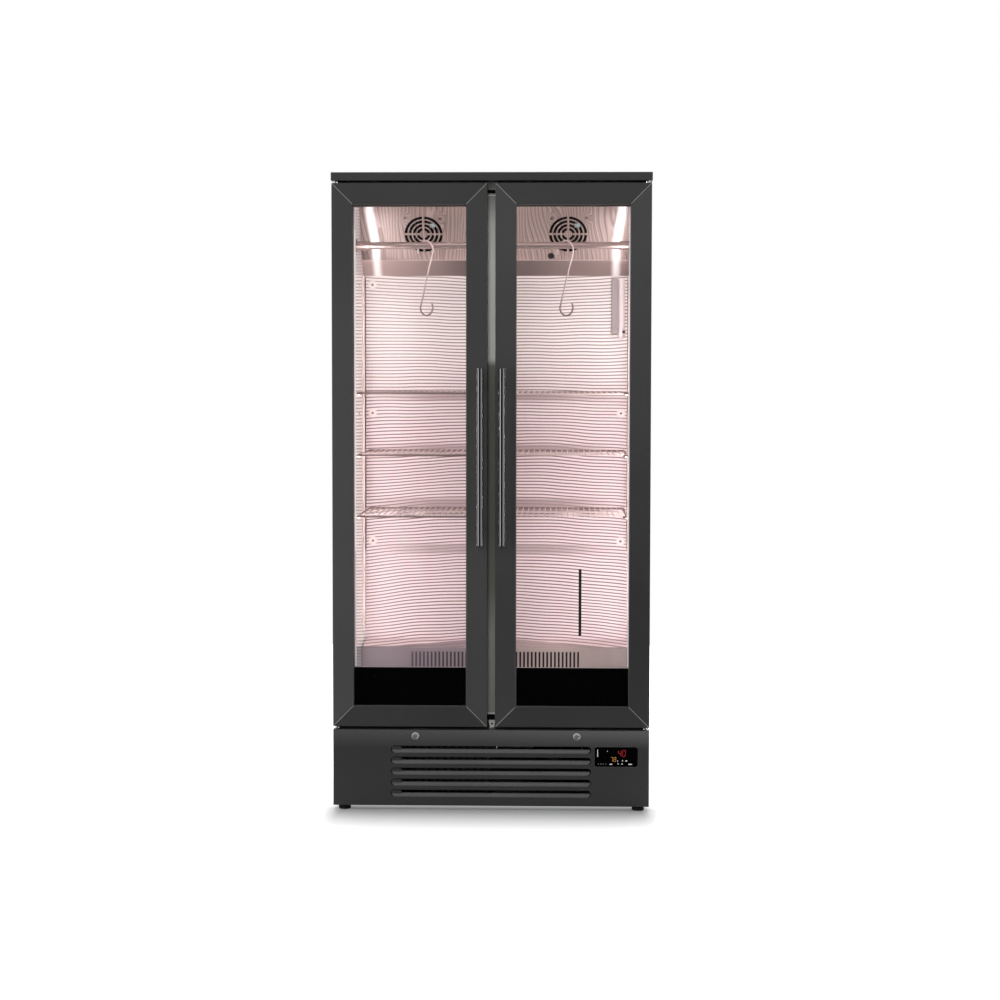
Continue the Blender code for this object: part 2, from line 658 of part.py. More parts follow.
def liner():
    """Folded stainless lining of the cavity, with a flange turned out round its mouth."""
    front = CASE_FRONT
    mesh = bmesh.new()
    wide = CAVITY_HALF + FLANGE - FIT
    add_box(mesh, (-wide, front, CAVITY_FLOOR - FLANGE + FIT),
            (wide, front + LINER, CAVITY_TOP + FLANGE - FIT))
    lining = piece("liner", mesh, STAINLESS)
    tub = bmesh.new()
    add_box(tub, (-CAVITY_HALF - LINER, front + LINER / 2, CAVITY_FLOOR - LINER),
            (CAVITY_HALF + LINER, CAVITY_BACK + LINER, CAVITY_TOP + LINER))
    weld(lining, tub)
    room = bmesh.new()
    add_box(room, (-CAVITY_HALF, front - CUT, CAVITY_FLOOR), (CAVITY_HALF, CAVITY_BACK, CAVITY_TOP))
    cut(lining, room)
    notches = bmesh.new()
    reach = MULLION_HALF + FIT
    add_box(notches, (-reach, front - CUT, CAVITY_FLOOR - FLANGE - CUT),
            (reach, front + SHEET + FIT, CAVITY_TOP + FLANGE + CUT))
    add_box(notches, (AIR_SLOT_X - AIR_SLOT_WIDTH / 2, CAVITY_BACK - CUT, AIR_SLOT_LOW),
            (AIR_SLOT_X + AIR_SLOT_WIDTH / 2, CAVITY_BACK + CUT, AIR_SLOT_HIGH))
    cut(lining, notches)
    return lining


def centre_mullion():
    """Aluminium post that both gaskets close on: a face plate with a box section behind it."""
    front = CASE_FRONT
    mesh = bmesh.new()
    add_box(mesh, (-MULLION_HALF, front, CAVITY_FLOOR - FLANGE + FIT),
            (MULLION_HALF, front + SHEET, CAVITY_TOP + FLANGE - FIT))
    post = piece("centre_mullion", mesh, ALUMINIUM)
    box = bmesh.new()
    add_box(box, (-MULLION_BODY_HALF, front + SHEET / 2, CAVITY_FLOOR + FIT),
            (MULLION_BODY_HALF, front + MULLION_DEPTH, CAVITY_TOP - FIT))
    weld(post, box)
    return post


# Air cooler: cover, coil, fan motors and rotors

def ring_slots(mesh, middle, start, end):
    """Four rings of curved slots, each ring in four quarters with ribs between."""
    for inner in GRILLE_RADII:
        outer = inner + GRILLE_SLOT
        gap_in = math.asin(GRILLE_RIB / inner)
        gap_out = math.asin(GRILLE_RIB / outer)
        steps = 2 if inner < GRILLE_RADII[2] else 4
        for quarter in range(4):
            begin = quarter * math.pi / 2
            close = begin + math.pi / 2
            outline = arc(middle, outer, begin + gap_out, close - gap_out, steps)
            outline += arc(middle, inner, close - gap_in, begin + gap_in, steps)
            add_prism(mesh, outline, "y", start, end)


def cooler_cover():
    """Folded stainless cover across the top of the back wall, leaning out, with two fan grilles."""
    face = CAVITY_BACK - COOLER_DEPTH
    slope = math.tan(COOLER_LEAN)
    high = CAVITY_TOP - FIT
    back = CAVITY_BACK - FIT
    brow = face - (high - FAN_Z) * slope
    bend = face + (FAN_Z - COOLER_BEND) * slope
    mesh = bmesh.new()
    outline = [(brow, high), (bend, COOLER_BEND), (back, COOLER_LOW), (back, high)]
    add_prism(mesh, outline, "x", -COOLER_HALF, COOLER_HALF)
    cover = piece("evaporator_cover", mesh, STAINLESS)
    wall = COOLER_SHEET
    step = wall / math.cos(COOLER_LEAN)
    fall = (COOLER_BEND - COOLER_LOW) / (back - bend)
    rise = wall * math.hypot(1, fall)
    turn_y = bend + (step - slope * rise) / (1 - slope * fall)
    turn_z = COOLER_BEND - (turn_y - bend - step) / slope
    inner = [(brow + step - CUT * slope, high + CUT), (turn_y, turn_z),
             (back + CUT, turn_z - (back + CUT - turn_y) * fall), (back + CUT, high + CUT)]
    hollow = bmesh.new()
    add_prism(hollow, inner, "x", wall - COOLER_HALF, COOLER_HALF - wall)
    cut(cover, hollow)
    pivot = (0.0, face, FAN_Z)
    holes = bmesh.new()
    for side in (-1, 1):
        ring_slots(holes, (side * FAN_X, FAN_Z), face - CUT, face + wall + CUT)
    add_prism(holes, circle((PROBE_X, FAN_Z - PROBE_DROP), PROBE_RADIUS, 12), "y",
              face - CUT, face + wall + CUT)
    cut(cover, leaned(holes, pivot, COOLER_LEAN))
    return cover


def finned_block(name, low, high, fins, depth):
    """Coil block with grooves between its fins, front and back."""
    left, right = low[0], high[0]
    pitch = (right - left) / fins
    outline = []
    for i in range(fins):
        x = left + i * pitch
        outline += [(x, low[1]), (x + pitch / 2, low[1]), (x + pitch / 2, low[1] + depth),
                    (x + pitch, low[1] + depth)]
    outline += [(right, high[1]), (left, high[1])]
    mesh = bmesh.new()
    add_prism(mesh, outline, "z", low[2], high[2])
    return piece(name, mesh, ZINC)


def evaporator_coil():
    """Finned coil behind the fans, against the back wall."""
    back = CAVITY_BACK - FIT
    return finned_block("evaporator_coil", (-COIL_HALF, back - COIL_DEPTH, COIL_LOW),
                        (COIL_HALF, back, COIL_HIGH), COIL_FINS, COIL_DEPTH / 3)


def fan_rotor(name, middle, start, tip, lean):
    """Hub with swept blades. The rotor turns on the motor's shaft, which passes its bore."""
    pivot = (middle[0], start, middle[1])
    hub = tip * FAN_HUB_SHARE
    depth = tip * FAN_CHORD_SHARE
    mesh = bmesh.new()
    add_prism(mesh, circle(middle, hub, 12), "y", start + FIT, start + depth)
    rotor = piece(name, leaned(mesh, pivot, lean), BLACK_PLASTIC)
    blades = bmesh.new()
    for i in range(FAN_BLADES):
        turn = 2 * math.pi * i / FAN_BLADES
        rows = []
        for share in (0.0, 0.5, 1.0):
            angle = turn + FAN_SWEEP * share
            along = start + BLADE_THICK + (depth - 3 * BLADE_THICK) * share
            row = []
            for radius in (hub * BLADE_ROOT_SHARE, tip):
                for lift in (0.0, BLADE_THICK):
                    x = middle[0] + radius * math.cos(angle)
                    z = middle[1] + radius * math.sin(angle)
                    row.append(blades.verts.new((x, along + lift, z)))
            rows.append(row)
        for first, second in zip(rows, rows[1:]):
            for a, b in ((0, 1), (1, 3), (2, 3), (0, 2)):
                blades.faces.new((first[a], first[b], second[b]))
                blades.faces.new((first[a], second[b], second[a]))
        for row in (rows[0], rows[-1]):
            blades.faces.new((row[0], row[1], row[3], row[2]))
    weld(rotor, leaned(blades, pivot, lean))
    bore = bmesh.new()
    add_prism(bore, circle(middle, SHAFT_RADIUS + SHAFT_CLEAR, 10), "y",
              start - CUT, start + depth + CUT)
    cut(rotor, leaned(bore, pivot, lean))
    return rotor


def fan_frame(name, middle, face, tip, lean, square=None):
    """Ring or square shroud in front, struts and motor can behind the rotor, shaft through it."""
    pivot = (middle[0], face, middle[1])
    depth = tip * FAN_CHORD_SHARE
    hole = tip + TIP_CLEAR
    grip = hole + RING_WALL / 2
    half = STRUT_WIDTH / 2
    strut_at = face + depth + STRUT_GAP
    struts_end = strut_at + STRUT_THICK
    mesh = bmesh.new()
    if square:
        low, high = square
        add_box(mesh, (low[0], face, low[1]), (high[0], struts_end, high[1]))
    else:
        add_prism(mesh, circle(middle, hole + RING_WALL, 20), "y", face, struts_end)
    frame = piece(name, leaned(mesh, pivot, lean), BLACK_PLASTIC)
    hollow = bmesh.new()
    add_prism(hollow, circle(middle, hole, 20), "y", face - CUT, struts_end + CUT)
    cut(frame, leaned(hollow, pivot, lean))
    bar = bmesh.new()
    add_box(bar, (middle[0] - grip, strut_at, middle[1] - half),
            (middle[0] + grip, struts_end, middle[1] + half))
    weld(frame, leaned(bar, pivot, lean))
    cross = bmesh.new()
    add_box(cross, (middle[0] - half, strut_at + FIT, middle[1] - grip),
            (middle[0] + half, struts_end - FIT, middle[1] + grip))
    weld(frame, leaned(cross, pivot, lean))
    radius = tip * MOTOR_RADIUS_SHARE
    end = strut_at + MOTOR_LENGTH
    profile = [(0, face + depth / 4), (SHAFT_RADIUS, face + depth / 4),
               (SHAFT_RADIUS, strut_at - FIT), (radius, strut_at - FIT),
               (radius, end - SHEET), (radius - SHEET, end), (0, end)]
    motor = bmesh.new()
    add_turned(motor, profile, "y", middle, 12)
    weld(frame, leaned(motor, pivot, lean))
    return frame


def cooler_fans():
    """Two axial fans behind the grilles, leaning with the cover."""
    face = CAVITY_BACK - COOLER_DEPTH
    start = face + COOLER_SHEET + FIT
    shift_y = (start - face) * math.cos(COOLER_LEAN)
    shift_z = (start - face) * math.sin(COOLER_LEAN)
    for word, side in (("left", -1), ("right", 1)):
        middle = (side * FAN_X, FAN_Z + shift_z)
        fan_frame("evaporator_fan_motor_" + word, middle, face + shift_y, COOLER_FAN, COOLER_LEAN)
        rotor = fan_rotor("evaporator_fan_" + word, middle, face + shift_y, COOLER_FAN, COOLER_LEAN)
        carry("evaporator_fan_axis_" + word, (middle[0], face + shift_y, middle[1]), [rotor])


# Hanging rail, hooks, shelves and their uprights

def hanging_rail():
    """Round stainless rail with a collar and a wall flange turned on each end."""
    end = CAVITY_HALF - FIT
    half = [(RAIL_RADIUS, end - RAIL_COLLAR), (RAIL_COLLAR_RADIUS, end - RAIL_COLLAR),
            (RAIL_COLLAR_RADIUS, end - RAIL_FLANGE), (RAIL_FLANGE_RADIUS, end - RAIL_FLANGE),
            (RAIL_FLANGE_RADIUS, end), (0, end)]
    profile = [(radius, -along) for radius, along in reversed(half)] + half
    mesh = bmesh.new()
    add_turned(mesh, profile, "x", (RAIL_Y, RAIL_Z), 14)
    return piece("hanging_rail", mesh, STAINLESS, ROUND)


def hook_line():
    """Middle line of an S hook in its own plane: sideways and up from the rail's axis."""
    top = RAIL_RADIUS + HOOK_WIRE + HOOK_LIFT
    upper = (0.0, top - HOOK_TOP_RADIUS)
    lower = (HOOK_SWAY, top - HOOK_LENGTH + HOOK_LOW_RADIUS)
    points = arc(upper, HOOK_TOP_RADIUS, math.pi + HOOK_TIP_ANGLE, 0.0, 14)
    points += arc(lower, HOOK_LOW_RADIUS, math.pi, 2 * math.pi + HOOK_TIP_ANGLE, 9)
    return points


def hooks():
    """Two wire hooks that swing about the rail."""
    for word, x in (("left", HOOK_LEFT), ("right", HOOK_RIGHT)):
        curve = bpy.data.curves.new("meat_hook_" + word, "CURVE")
        curve.dimensions = "3D"
        curve.bevel_depth = HOOK_WIRE
        curve.bevel_resolution = 1
        curve.use_fill_caps = True
        line = hook_line()
        spline = curve.splines.new("POLY")
        spline.points.add(len(line) - 1)
        for point, (sideways, up) in zip(spline.points, line):
            point.co = (sideways * math.sin(HOOK_TURN), -sideways * math.cos(HOOK_TURN), up, 1.0)
        curve.materials.append(CHROME)
        hook = bpy.data.objects.new("meat_hook_" + word, curve)
        hook.location = (x, RAIL_Y, RAIL_Z)
        bpy.context.scene.collection.objects.link(hook)


def upright_places():
    """Name, side and middle of each slotted upright."""
    rows = (("front", FRONT + UPRIGHT_FRONT_SETBACK), ("rear", CAVITY_BACK - UPRIGHT_BACK_GAP))
    return [("shelf_upright_%s_%s" % (row, word), side, y)
            for row, y in rows for word, side in (("left", -1), ("right", 1))]


def shelf_uprights():
    """Slotted channels on the side walls, each with a clip under every shelf."""
    wall = CAVITY_HALF - FIT
    face = wall - UPRIGHT_PROUD
    rail_under = SHELF_ROD + FIT
    for name, side, middle in upright_places():
        near, far = middle - UPRIGHT_WIDTH / 2, middle + UPRIGHT_WIDTH / 2
        sheet = UPRIGHT_SHEET
        outline = [(side * wall, near), (side * face, near), (side * face, far), (side * wall, far),
                   (side * wall, far - sheet), (side * (face + sheet), far - sheet),
                   (side * (face + sheet), near + sheet), (side * wall, near + sheet)]
        mesh = bmesh.new()
        add_prism(mesh, outline, "z", UPRIGHT_LOW, UPRIGHT_HIGH)
        upright = piece(name, mesh, STAINLESS)
        slots = bmesh.new()
        pitch = (UPRIGHT_HIGH - UPRIGHT_LOW) / UPRIGHT_SLOTS
        for i in range(UPRIGHT_SLOTS):
            low = UPRIGHT_LOW + (i + 0.5) * pitch - UPRIGHT_SLOT_HEIGHT / 2
            add_box(slots, (min(side * (face - CUT), side * (face + 2 * sheet)),
                            middle - UPRIGHT_SLOT_WIDTH / 2, low),
                    (max(side * (face - CUT), side * (face + 2 * sheet)),
                     middle + UPRIGHT_SLOT_WIDTH / 2, low + UPRIGHT_SLOT_HEIGHT))
        cut(upright, slots)
        clips = bmesh.new()
        for top in SHELF_TOPS:
            high = top - rail_under
            add_box(clips, (min(side * (face - CLIP_REACH), side * (face + sheet / 2)),
                            middle - CLIP_WIDTH / 2, high - CLIP_THICK),
                    (max(side * (face - CLIP_REACH), side * (face + sheet / 2)),
                     middle + CLIP_WIDTH / 2, high))
        weld(upright, clips)


def shelves():
    """Chromed wire shelves: a rod frame with wires running from front to back."""
    near = FRONT + SHELF_FRONT_SETBACK
    far = CAVITY_BACK - SHELF_BACK_GAP
    rod = SHELF_ROD
    for word, top in zip(("upper", "middle", "lower"), SHELF_TOPS):
        mesh = bmesh.new()
        add_box(mesh, (-SHELF_HALF, near, top - rod), (SHELF_HALF, far, top))
        shelf = piece("shelf_" + word, mesh, CHROME)
        hole = bmesh.new()
        add_box(hole, (rod - SHELF_HALF, near + rod, top - rod - CUT),
                (SHELF_HALF - rod, far - rod, top + CUT))
        cut(shelf, hole)
        wires = bmesh.new()
        count = int((2 * SHELF_HALF - rod) / SHELF_WIRE_PITCH) - 1
        radius = SHELF_WIRE / 2
        for i in range(count):
            x = (i - (count - 1) / 2) * SHELF_WIRE_PITCH
            add_prism(wires, circle((x, top - radius - FIT), radius, 4), "y",
                      near + rod - radius, far - rod + radius)
        weld(shelf, wires)
        carry("shelf_lift_" + word, (0.0, (near + far) / 2, top), [shelf])


# Lights and the lower air cover

def led_strips():
    """Light strips in the front corners of the cavity: a channel with a rounded diffuser."""
    near = CASE_FRONT + LED_SETBACK
    wall = CAVITY_HALF - FIT
    for word, side in (("left", -1), ("right", 1)):
        face = wall - LED_PROUD
        outline = [(side * wall, near), (side * (face + LED_NOSE), near),
                   (side * face, near + LED_NOSE), (side * (face + LED_NOSE), near + LED_DEPTH),
                   (side * wall, near + LED_DEPTH)]
        mesh = bmesh.new()
        add_prism(mesh, outline, "z", LED_LOW, LED_HIGH)
        piece("led_strip_" + word, mesh, LIGHT_COVER)


def germ_lamp():
    """Lamp in the corner under the air cooler: a holder with a round-ended tube cover."""
    back = CAVITY_BACK - FIT
    mesh = bmesh.new()
    add_box(mesh, (LAMP_LEFT, back - LAMP_DEPTH, LAMP_HOLDER_LOW), (LAMP_SPLIT, back, LAMP_HIGH))
    lamp = piece("germ_lamp", mesh, GREY_PLASTIC)
    radius = (LAMP_RIGHT - LAMP_SPLIT) / 2 + PIN_CLEAR
    x = LAMP_RIGHT - radius
    y = back - LAMP_DEPTH / 2
    profile = [(0, LAMP_LOW), (radius * 0.6, LAMP_LOW + radius * 0.2),
               (radius, LAMP_LOW + radius), (radius, LAMP_HIGH - SHEET), (0, LAMP_HIGH - SHEET)]
    tube = bmesh.new()
    add_turned(tube, profile, "z", (x, y), 14)
    weld(lamp, tube)
    return lamp


def return_air_cover():
    """Stainless cover over the return duct, with a field of upright slots."""
    face = CAVITY_BACK - RETURN_DEPTH
    back = CAVITY_BACK - FIT
    low = CAVITY_FLOOR + FIT
    sheet = COOLER_SHEET
    outline = [(face, low), (face, RETURN_SHOULDER), (back, RETURN_HIGH),
               (back, RETURN_HIGH - sheet), (face + sheet, RETURN_SHOULDER - sheet),
               (face + sheet, low)]
    mesh = bmesh.new()
    add_prism(mesh, outline, "x", -RETURN_HALF, RETURN_HALF)
    cover = piece("return_air_cover", mesh, STAINLESS)
    slots = bmesh.new()
    count = int(2 * RETURN_SLOT_SPAN / RETURN_SLOT_PITCH) + 1
    for i in range(count):
        x = (i - (count - 1) / 2) * RETURN_SLOT_PITCH
        add_box(slots, (x - RETURN_SLOT_WIDTH / 2, face - CUT, RETURN_SLOT_LOW),
                (x + RETURN_SLOT_WIDTH / 2, face + sheet + CUT, RETURN_SLOT_HIGH))
    cut(cover, slots)
    return cover


# Kick panel with its louvres, controller and door locks

def louvre_outline(top):
    """Slot outline with round ends."""
    radius = LOUVRE_HEIGHT / 2
    middle = top - radius
    left = arc((radius - LOUVRE_HALF, middle), radius, math.pi / 2, 3 * math.pi / 2, 4)
    right = arc((LOUVRE_HALF - radius, middle), radius, -math.pi / 2, math.pi / 2, 4)
    return left + right


def lip_outline(low):
    """Cross-section of a pressed lip: rooted in the sheet under its slot, then curling in."""
    inset = SHEET / 6
    bottom = low - 2 * SHEET
    outer = [(FRONT + inset, bottom), (FRONT + inset, low)]
    outer += [(FRONT + inset + LIP_DEPTH * share ** 1.4, low + LIP_RISE * math.sin(share * math.pi / 2))
              for share in (0.45, 0.75, 1.0)]
    thick = SHEET - 2 * inset
    inner = [(y + thick, z - thick * (z - low) / LIP_RISE) for y, z in reversed(outer[1:])]
    return outer + inner + [(FRONT + SHEET - inset, bottom)]


def kick_panel():
    """Folded front of the machine room, with five pressed louvres."""
    back = CASE_FRONT - FIT
    mesh = bmesh.new()
    half = DOOR_OUTER
    nose = KICK_ROUND
    quarter = math.pi / 2
    outline = [(half, back), (-half, back)]
    outline += arc((nose - half, FRONT + nose), nose, 2 * quarter, 3 * quarter, 2)
    outline += arc((half - nose, FRONT + nose), nose, 3 * quarter, 4 * quarter, 2)
    add_prism(mesh, outline, "z", BASE_CLEAR, KICK_TOP)
    panel = piece("kick_panel", mesh, PAINTED)
    holes = bmesh.new()
    inner = half - SHEET
    add_box(holes, (-inner, FRONT + SHEET, BASE_CLEAR - CUT), (inner, back + CUT, KICK_TOP - SHEET))
    cut(panel, holes)
    openings = bmesh.new()
    for i in range(LOUVRE_COUNT):
        add_prism(openings, louvre_outline(LOUVRE_TOP - i * LOUVRE_PITCH), "y",
                  FRONT - CUT, FRONT + 2 * SHEET)
    margin = CONTROL_BODY_MARGIN - FIT
    window = (DISPLAY_WIDTH / 2 - margin, DISPLAY_HEIGHT / 2 - margin)
    add_box(openings, (DISPLAY_CENTRE_X - window[0], FRONT - CUT, DISPLAY_CENTRE_Z - window[1]),
            (DISPLAY_CENTRE_X + window[0], FRONT + 2 * SHEET, DISPLAY_CENTRE_Z + window[1]))
    near = cam_start() - CAM_CLEAR
    far = cam_start() + CAM_THICK + CAM_CLEAR
    for x in (LOCK_LEFT, LOCK_RIGHT):
        add_prism(openings, circle((x, LOCK_HEIGHT), LOCK_BARREL_RADIUS + FIT, 14), "y",
                  FRONT - CUT, FRONT + 2 * SHEET)
        add_box(openings, (x - CAM_WIDTH / 2 - CAM_CLEAR, near, KICK_TOP - 2 * SHEET),
                (x + CAM_LENGTH, far, KICK_TOP + CUT))
    cut(panel, openings)
    lips = bmesh.new()
    reach = LOUVRE_HALF - LOUVRE_HEIGHT / 4
    for i in range(LOUVRE_COUNT):
        low = LOUVRE_TOP - i * LOUVRE_PITCH - LOUVRE_HEIGHT
        add_prism(lips, lip_outline(low), "x", -reach, reach)
    weld(panel, lips)
    return panel


def controller():
    """Temperature controller: a black glass front on a slim body set into the kick panel."""
    mesh = bmesh.new()
    half = (DISPLAY_WIDTH / 2, DISPLAY_HEIGHT / 2)
    outline = rounded_box((DISPLAY_CENTRE_X - half[0], DISPLAY_CENTRE_Z - half[1]),
                          (DISPLAY_CENTRE_X + half[0], DISPLAY_CENTRE_Z + half[1]),
                          DISPLAY_ROUND, 4)
    add_prism(mesh, outline, "y", FRONT - FIT - DISPLAY_PROUD, FRONT - FIT)
    unit = piece("controller", mesh, BLACK_PLASTIC)
    body = bmesh.new()
    slim = (half[0] - CONTROL_BODY_MARGIN, half[1] - CONTROL_BODY_MARGIN)
    add_box(body, (DISPLAY_CENTRE_X - slim[0], FRONT - FIT - DISPLAY_PROUD / 2,
                   DISPLAY_CENTRE_Z - slim[1]),
            (DISPLAY_CENTRE_X + slim[0], FRONT + CONTROL_BODY_DEPTH, DISPLAY_CENTRE_Z + slim[1]))
    weld(unit, body)
    return unit


def cam_start():
    """Front face of the lock cams."""
    return FRONT + LOCK_BARREL_LENGTH


def door_locks():
    """Key locks: a chromed barrel with a cam that turns up into the door's lower rail."""
    for word, x in (("left", LOCK_LEFT), ("right", LOCK_RIGHT)):
        near = cam_start()
        head = LOCK_HEAD_RADIUS
        tip = FRONT - FIT - LOCK_HEAD_THICK
        profile = [(0, tip), (head * LOCK_FACE_SHARE, tip),
                   (head, FRONT - FIT - LOCK_HEAD_THICK / 2), (head, FRONT - FIT),
                   (LOCK_BARREL_RADIUS, FRONT - FIT), (LOCK_BARREL_RADIUS, near), (0, near)]
        mesh = bmesh.new()
        add_turned(mesh, profile, "y", (x, LOCK_HEIGHT), 14)
        lock = piece("door_lock_" + word, mesh, CHROME, ROUND)
        cam = bmesh.new()
        half = CAM_WIDTH / 2
        outline = [(x + CAM_LENGTH - half, LOCK_HEIGHT - half), (x + CAM_LENGTH, LOCK_HEIGHT - half / 2),
                   (x + CAM_LENGTH, LOCK_HEIGHT + half / 2), (x + CAM_LENGTH - half, LOCK_HEIGHT + half),
                   (x - half, LOCK_HEIGHT + half), (x - half, LOCK_HEIGHT - half)]
        add_prism(cam, outline, "y", near - FIT, near + CAM_THICK)
        weld(lock, cam)
        key = bmesh.new()
        add_box(key, (x - SHEET / 2, FRONT - LOCK_HEAD_THICK - CUT, LOCK_HEIGHT - LOCK_BARREL_RADIUS / 2),
                (x + SHEET / 2, FRONT + SHEET, LOCK_HEIGHT + LOCK_BARREL_RADIUS / 2))
        cut(lock, key)
        carry("door_lock_axis_" + word, (x, FRONT, LOCK_HEIGHT), [lock])


# Doors

def frame_profile():
    """Door frame section: inward from the door's edge, and back from its face."""
    groove = GROOVE_OFFSET + GROOVE_WIDTH
    return [(0.0, FRAME_CHAMFER), (FRAME_CHAMFER, 0.0), (FRAME_FACE - FRAME_BEVEL, 0.0),
            (FRAME_FACE, FRAME_BEVEL), (FRAME_FACE, FRAME_LIP), (FRAME_WEB, FRAME_LIP),
            (FRAME_WEB, DOOR_THICK), (groove, DOOR_THICK), (groove, DOOR_THICK - GROOVE_DEPTH),
            (GROOVE_OFFSET, DOOR_THICK - GROOVE_DEPTH), (GROOVE_OFFSET, DOOR_THICK),
            (0.0, DOOR_THICK)]


def mitred_bar(name, outline, low, high, edge):
    """One side of a frame: a hollow section along an edge, cut at 45 degrees at both ends."""
    mesh = bmesh.new()
    first, last = [], []
    for inward, back in outline:
        y = FRONT + back
        trim = inward + FRAME_JOINT
        if edge in ("top", "bottom"):
            z = high[1] - inward if edge == "top" else low[1] + inward
            first.append(mesh.verts.new((low[0] + trim, y, z)))
            last.append(mesh.verts.new((high[0] - trim, y, z)))
        else:
            x = high[0] - inward if edge == "right" else low[0] + inward
            first.append(mesh.verts.new((x, y, low[1] + trim)))
            last.append(mesh.verts.new((x, y, high[1] - trim)))
    count = len(outline)
    for i in range(count):
        following = (i + 1) % count
        mesh.faces.new((first[i], first[following], last[following], last[i]))
    mesh.faces.new(first)
    mesh.faces.new(last)
    bar = piece(name, mesh, PAINTED)
    shallow, deep = FRAME_WALL, FRAME_WEB - FRAME_WALL
    near = FRONT + FRAME_LIP
    far = FRONT + DOOR_THICK - GROOVE_DEPTH - FRAME_WALL
    chamber = bmesh.new()
    if edge in ("top", "bottom"):
        outer = high[1] if edge == "top" else low[1]
        inward = -1 if edge == "top" else 1
        levels = sorted((outer + inward * shallow, outer + inward * deep))
        add_box(chamber, (low[0] - CUT, near, levels[0]), (high[0] + CUT, far, levels[1]))
    else:
        outer = high[0] if edge == "right" else low[0]
        inward = -1 if edge == "right" else 1
        sides = sorted((outer + inward * shallow, outer + inward * deep))
        add_box(chamber, (sides[0], near, low[1] - CUT), (sides[1], far, high[1] + CUT))
    cut(bar, chamber)
    return bar


def ring_seal(name, outline, low, high):
    """A section swept once round a rectangle, as a closed ring."""
    mesh = bmesh.new()
    loops = []
    for inward, back in outline:
        y = FRONT + back
        left, right = low[0] + inward, high[0] - inward
        bottom, top = low[1] + inward, high[1] - inward
        loops.append([mesh.verts.new(corner) for corner in
                      ((left, y, bottom), (right, y, bottom), (right, y, top), (left, y, top))])
    for i in range(len(loops)):
        this, following = loops[i], loops[(i + 1) % len(loops)]
        for corner in range(4):
            ahead = (corner + 1) % 4
            mesh.faces.new((this[corner], this[ahead], following[ahead], following[corner]))
    return piece(name, mesh, RUBBER)


def gasket_profile():
    """Magnetic gasket: bellows with round shoulders, and a dart for the frame's groove."""
    outer = GASKET_OFFSET
    inner = GASKET_OFFSET + GASKET_WIDTH
    base = DOOR_THICK + FIT
    face = DOOR_THICK + GASKET_SPACE - FIT
    middle = GROOVE_OFFSET + GROOVE_WIDTH / 2
    dart = GASKET_DART_WIDTH / 2
    return [(outer, base), (outer, face - GASKET_ROLL), (outer + GASKET_ROLL, face),
            (inner - GASKET_ROLL, face), (inner, face - GASKET_ROLL), (inner, base),
            (middle + dart, base), (middle + dart, base - GASKET_DART),
            (middle - dart, base - GASKET_DART), (middle - dart, base)]


def glazing(name, low, high):
    """Sealed double glass: two panes on a spacer, with the filling port left open."""
    edge = FRAME_WEB + FIT
    near = FRONT + FRAME_LIP + FIT
    far = near + 2 * PANE + GLASS_SPACE
    left, right = low[0] + edge, high[0] - edge
    bottom, top = low[1] + edge, high[1] - edge
    mesh = bmesh.new()
    add_box(mesh, (left, near, bottom), (right, far, top))
    unit = piece(name, mesh, GLASS)
    gas = bmesh.new()
    add_box(gas, (left + SPACER, near + PANE, bottom + SPACER),
            (right - SPACER, far - PANE, top - SPACER))
    cut(unit, gas)
    port = bmesh.new()
    add_prism(port, circle(((left + right) / 2, (near + far) / 2), PORT_RADIUS, 8), "z",
              top - SPACER - CUT, top + CUT)
    cut(unit, port)
    return unit


def handle(name, x):
    """Long round bar on two posts with rosettes against the door."""
    y = FRONT - HANDLE_REACH + HANDLE_RADIUS
    nose = HANDLE_END_ROUND
    profile = [(0, HANDLE_LOW), (HANDLE_RADIUS - nose, HANDLE_LOW), (HANDLE_RADIUS, HANDLE_LOW + nose),
               (HANDLE_RADIUS, HANDLE_HIGH - nose), (HANDLE_RADIUS - nose, HANDLE_HIGH),
               (0, HANDLE_HIGH)]
    mesh = bmesh.new()
    add_turned(mesh, profile, "z", (x, y), 12)
    bar = piece(name, mesh, CHROME, ROUND)
    posts = bmesh.new()
    foot = FRONT - FIT
    for z in (HANDLE_LOW + POST_INSET, HANDLE_HIGH - POST_INSET):
        post = [(0, y), (POST_RADIUS, y), (POST_RADIUS, foot - ROSETTE_THICK),
                (ROSETTE_RADIUS, foot - ROSETTE_THICK), (ROSETTE_RADIUS, foot), (0, foot)]
        add_turned(posts, post, "y", (x, z), 10)
    weld(bar, posts)
    return bar


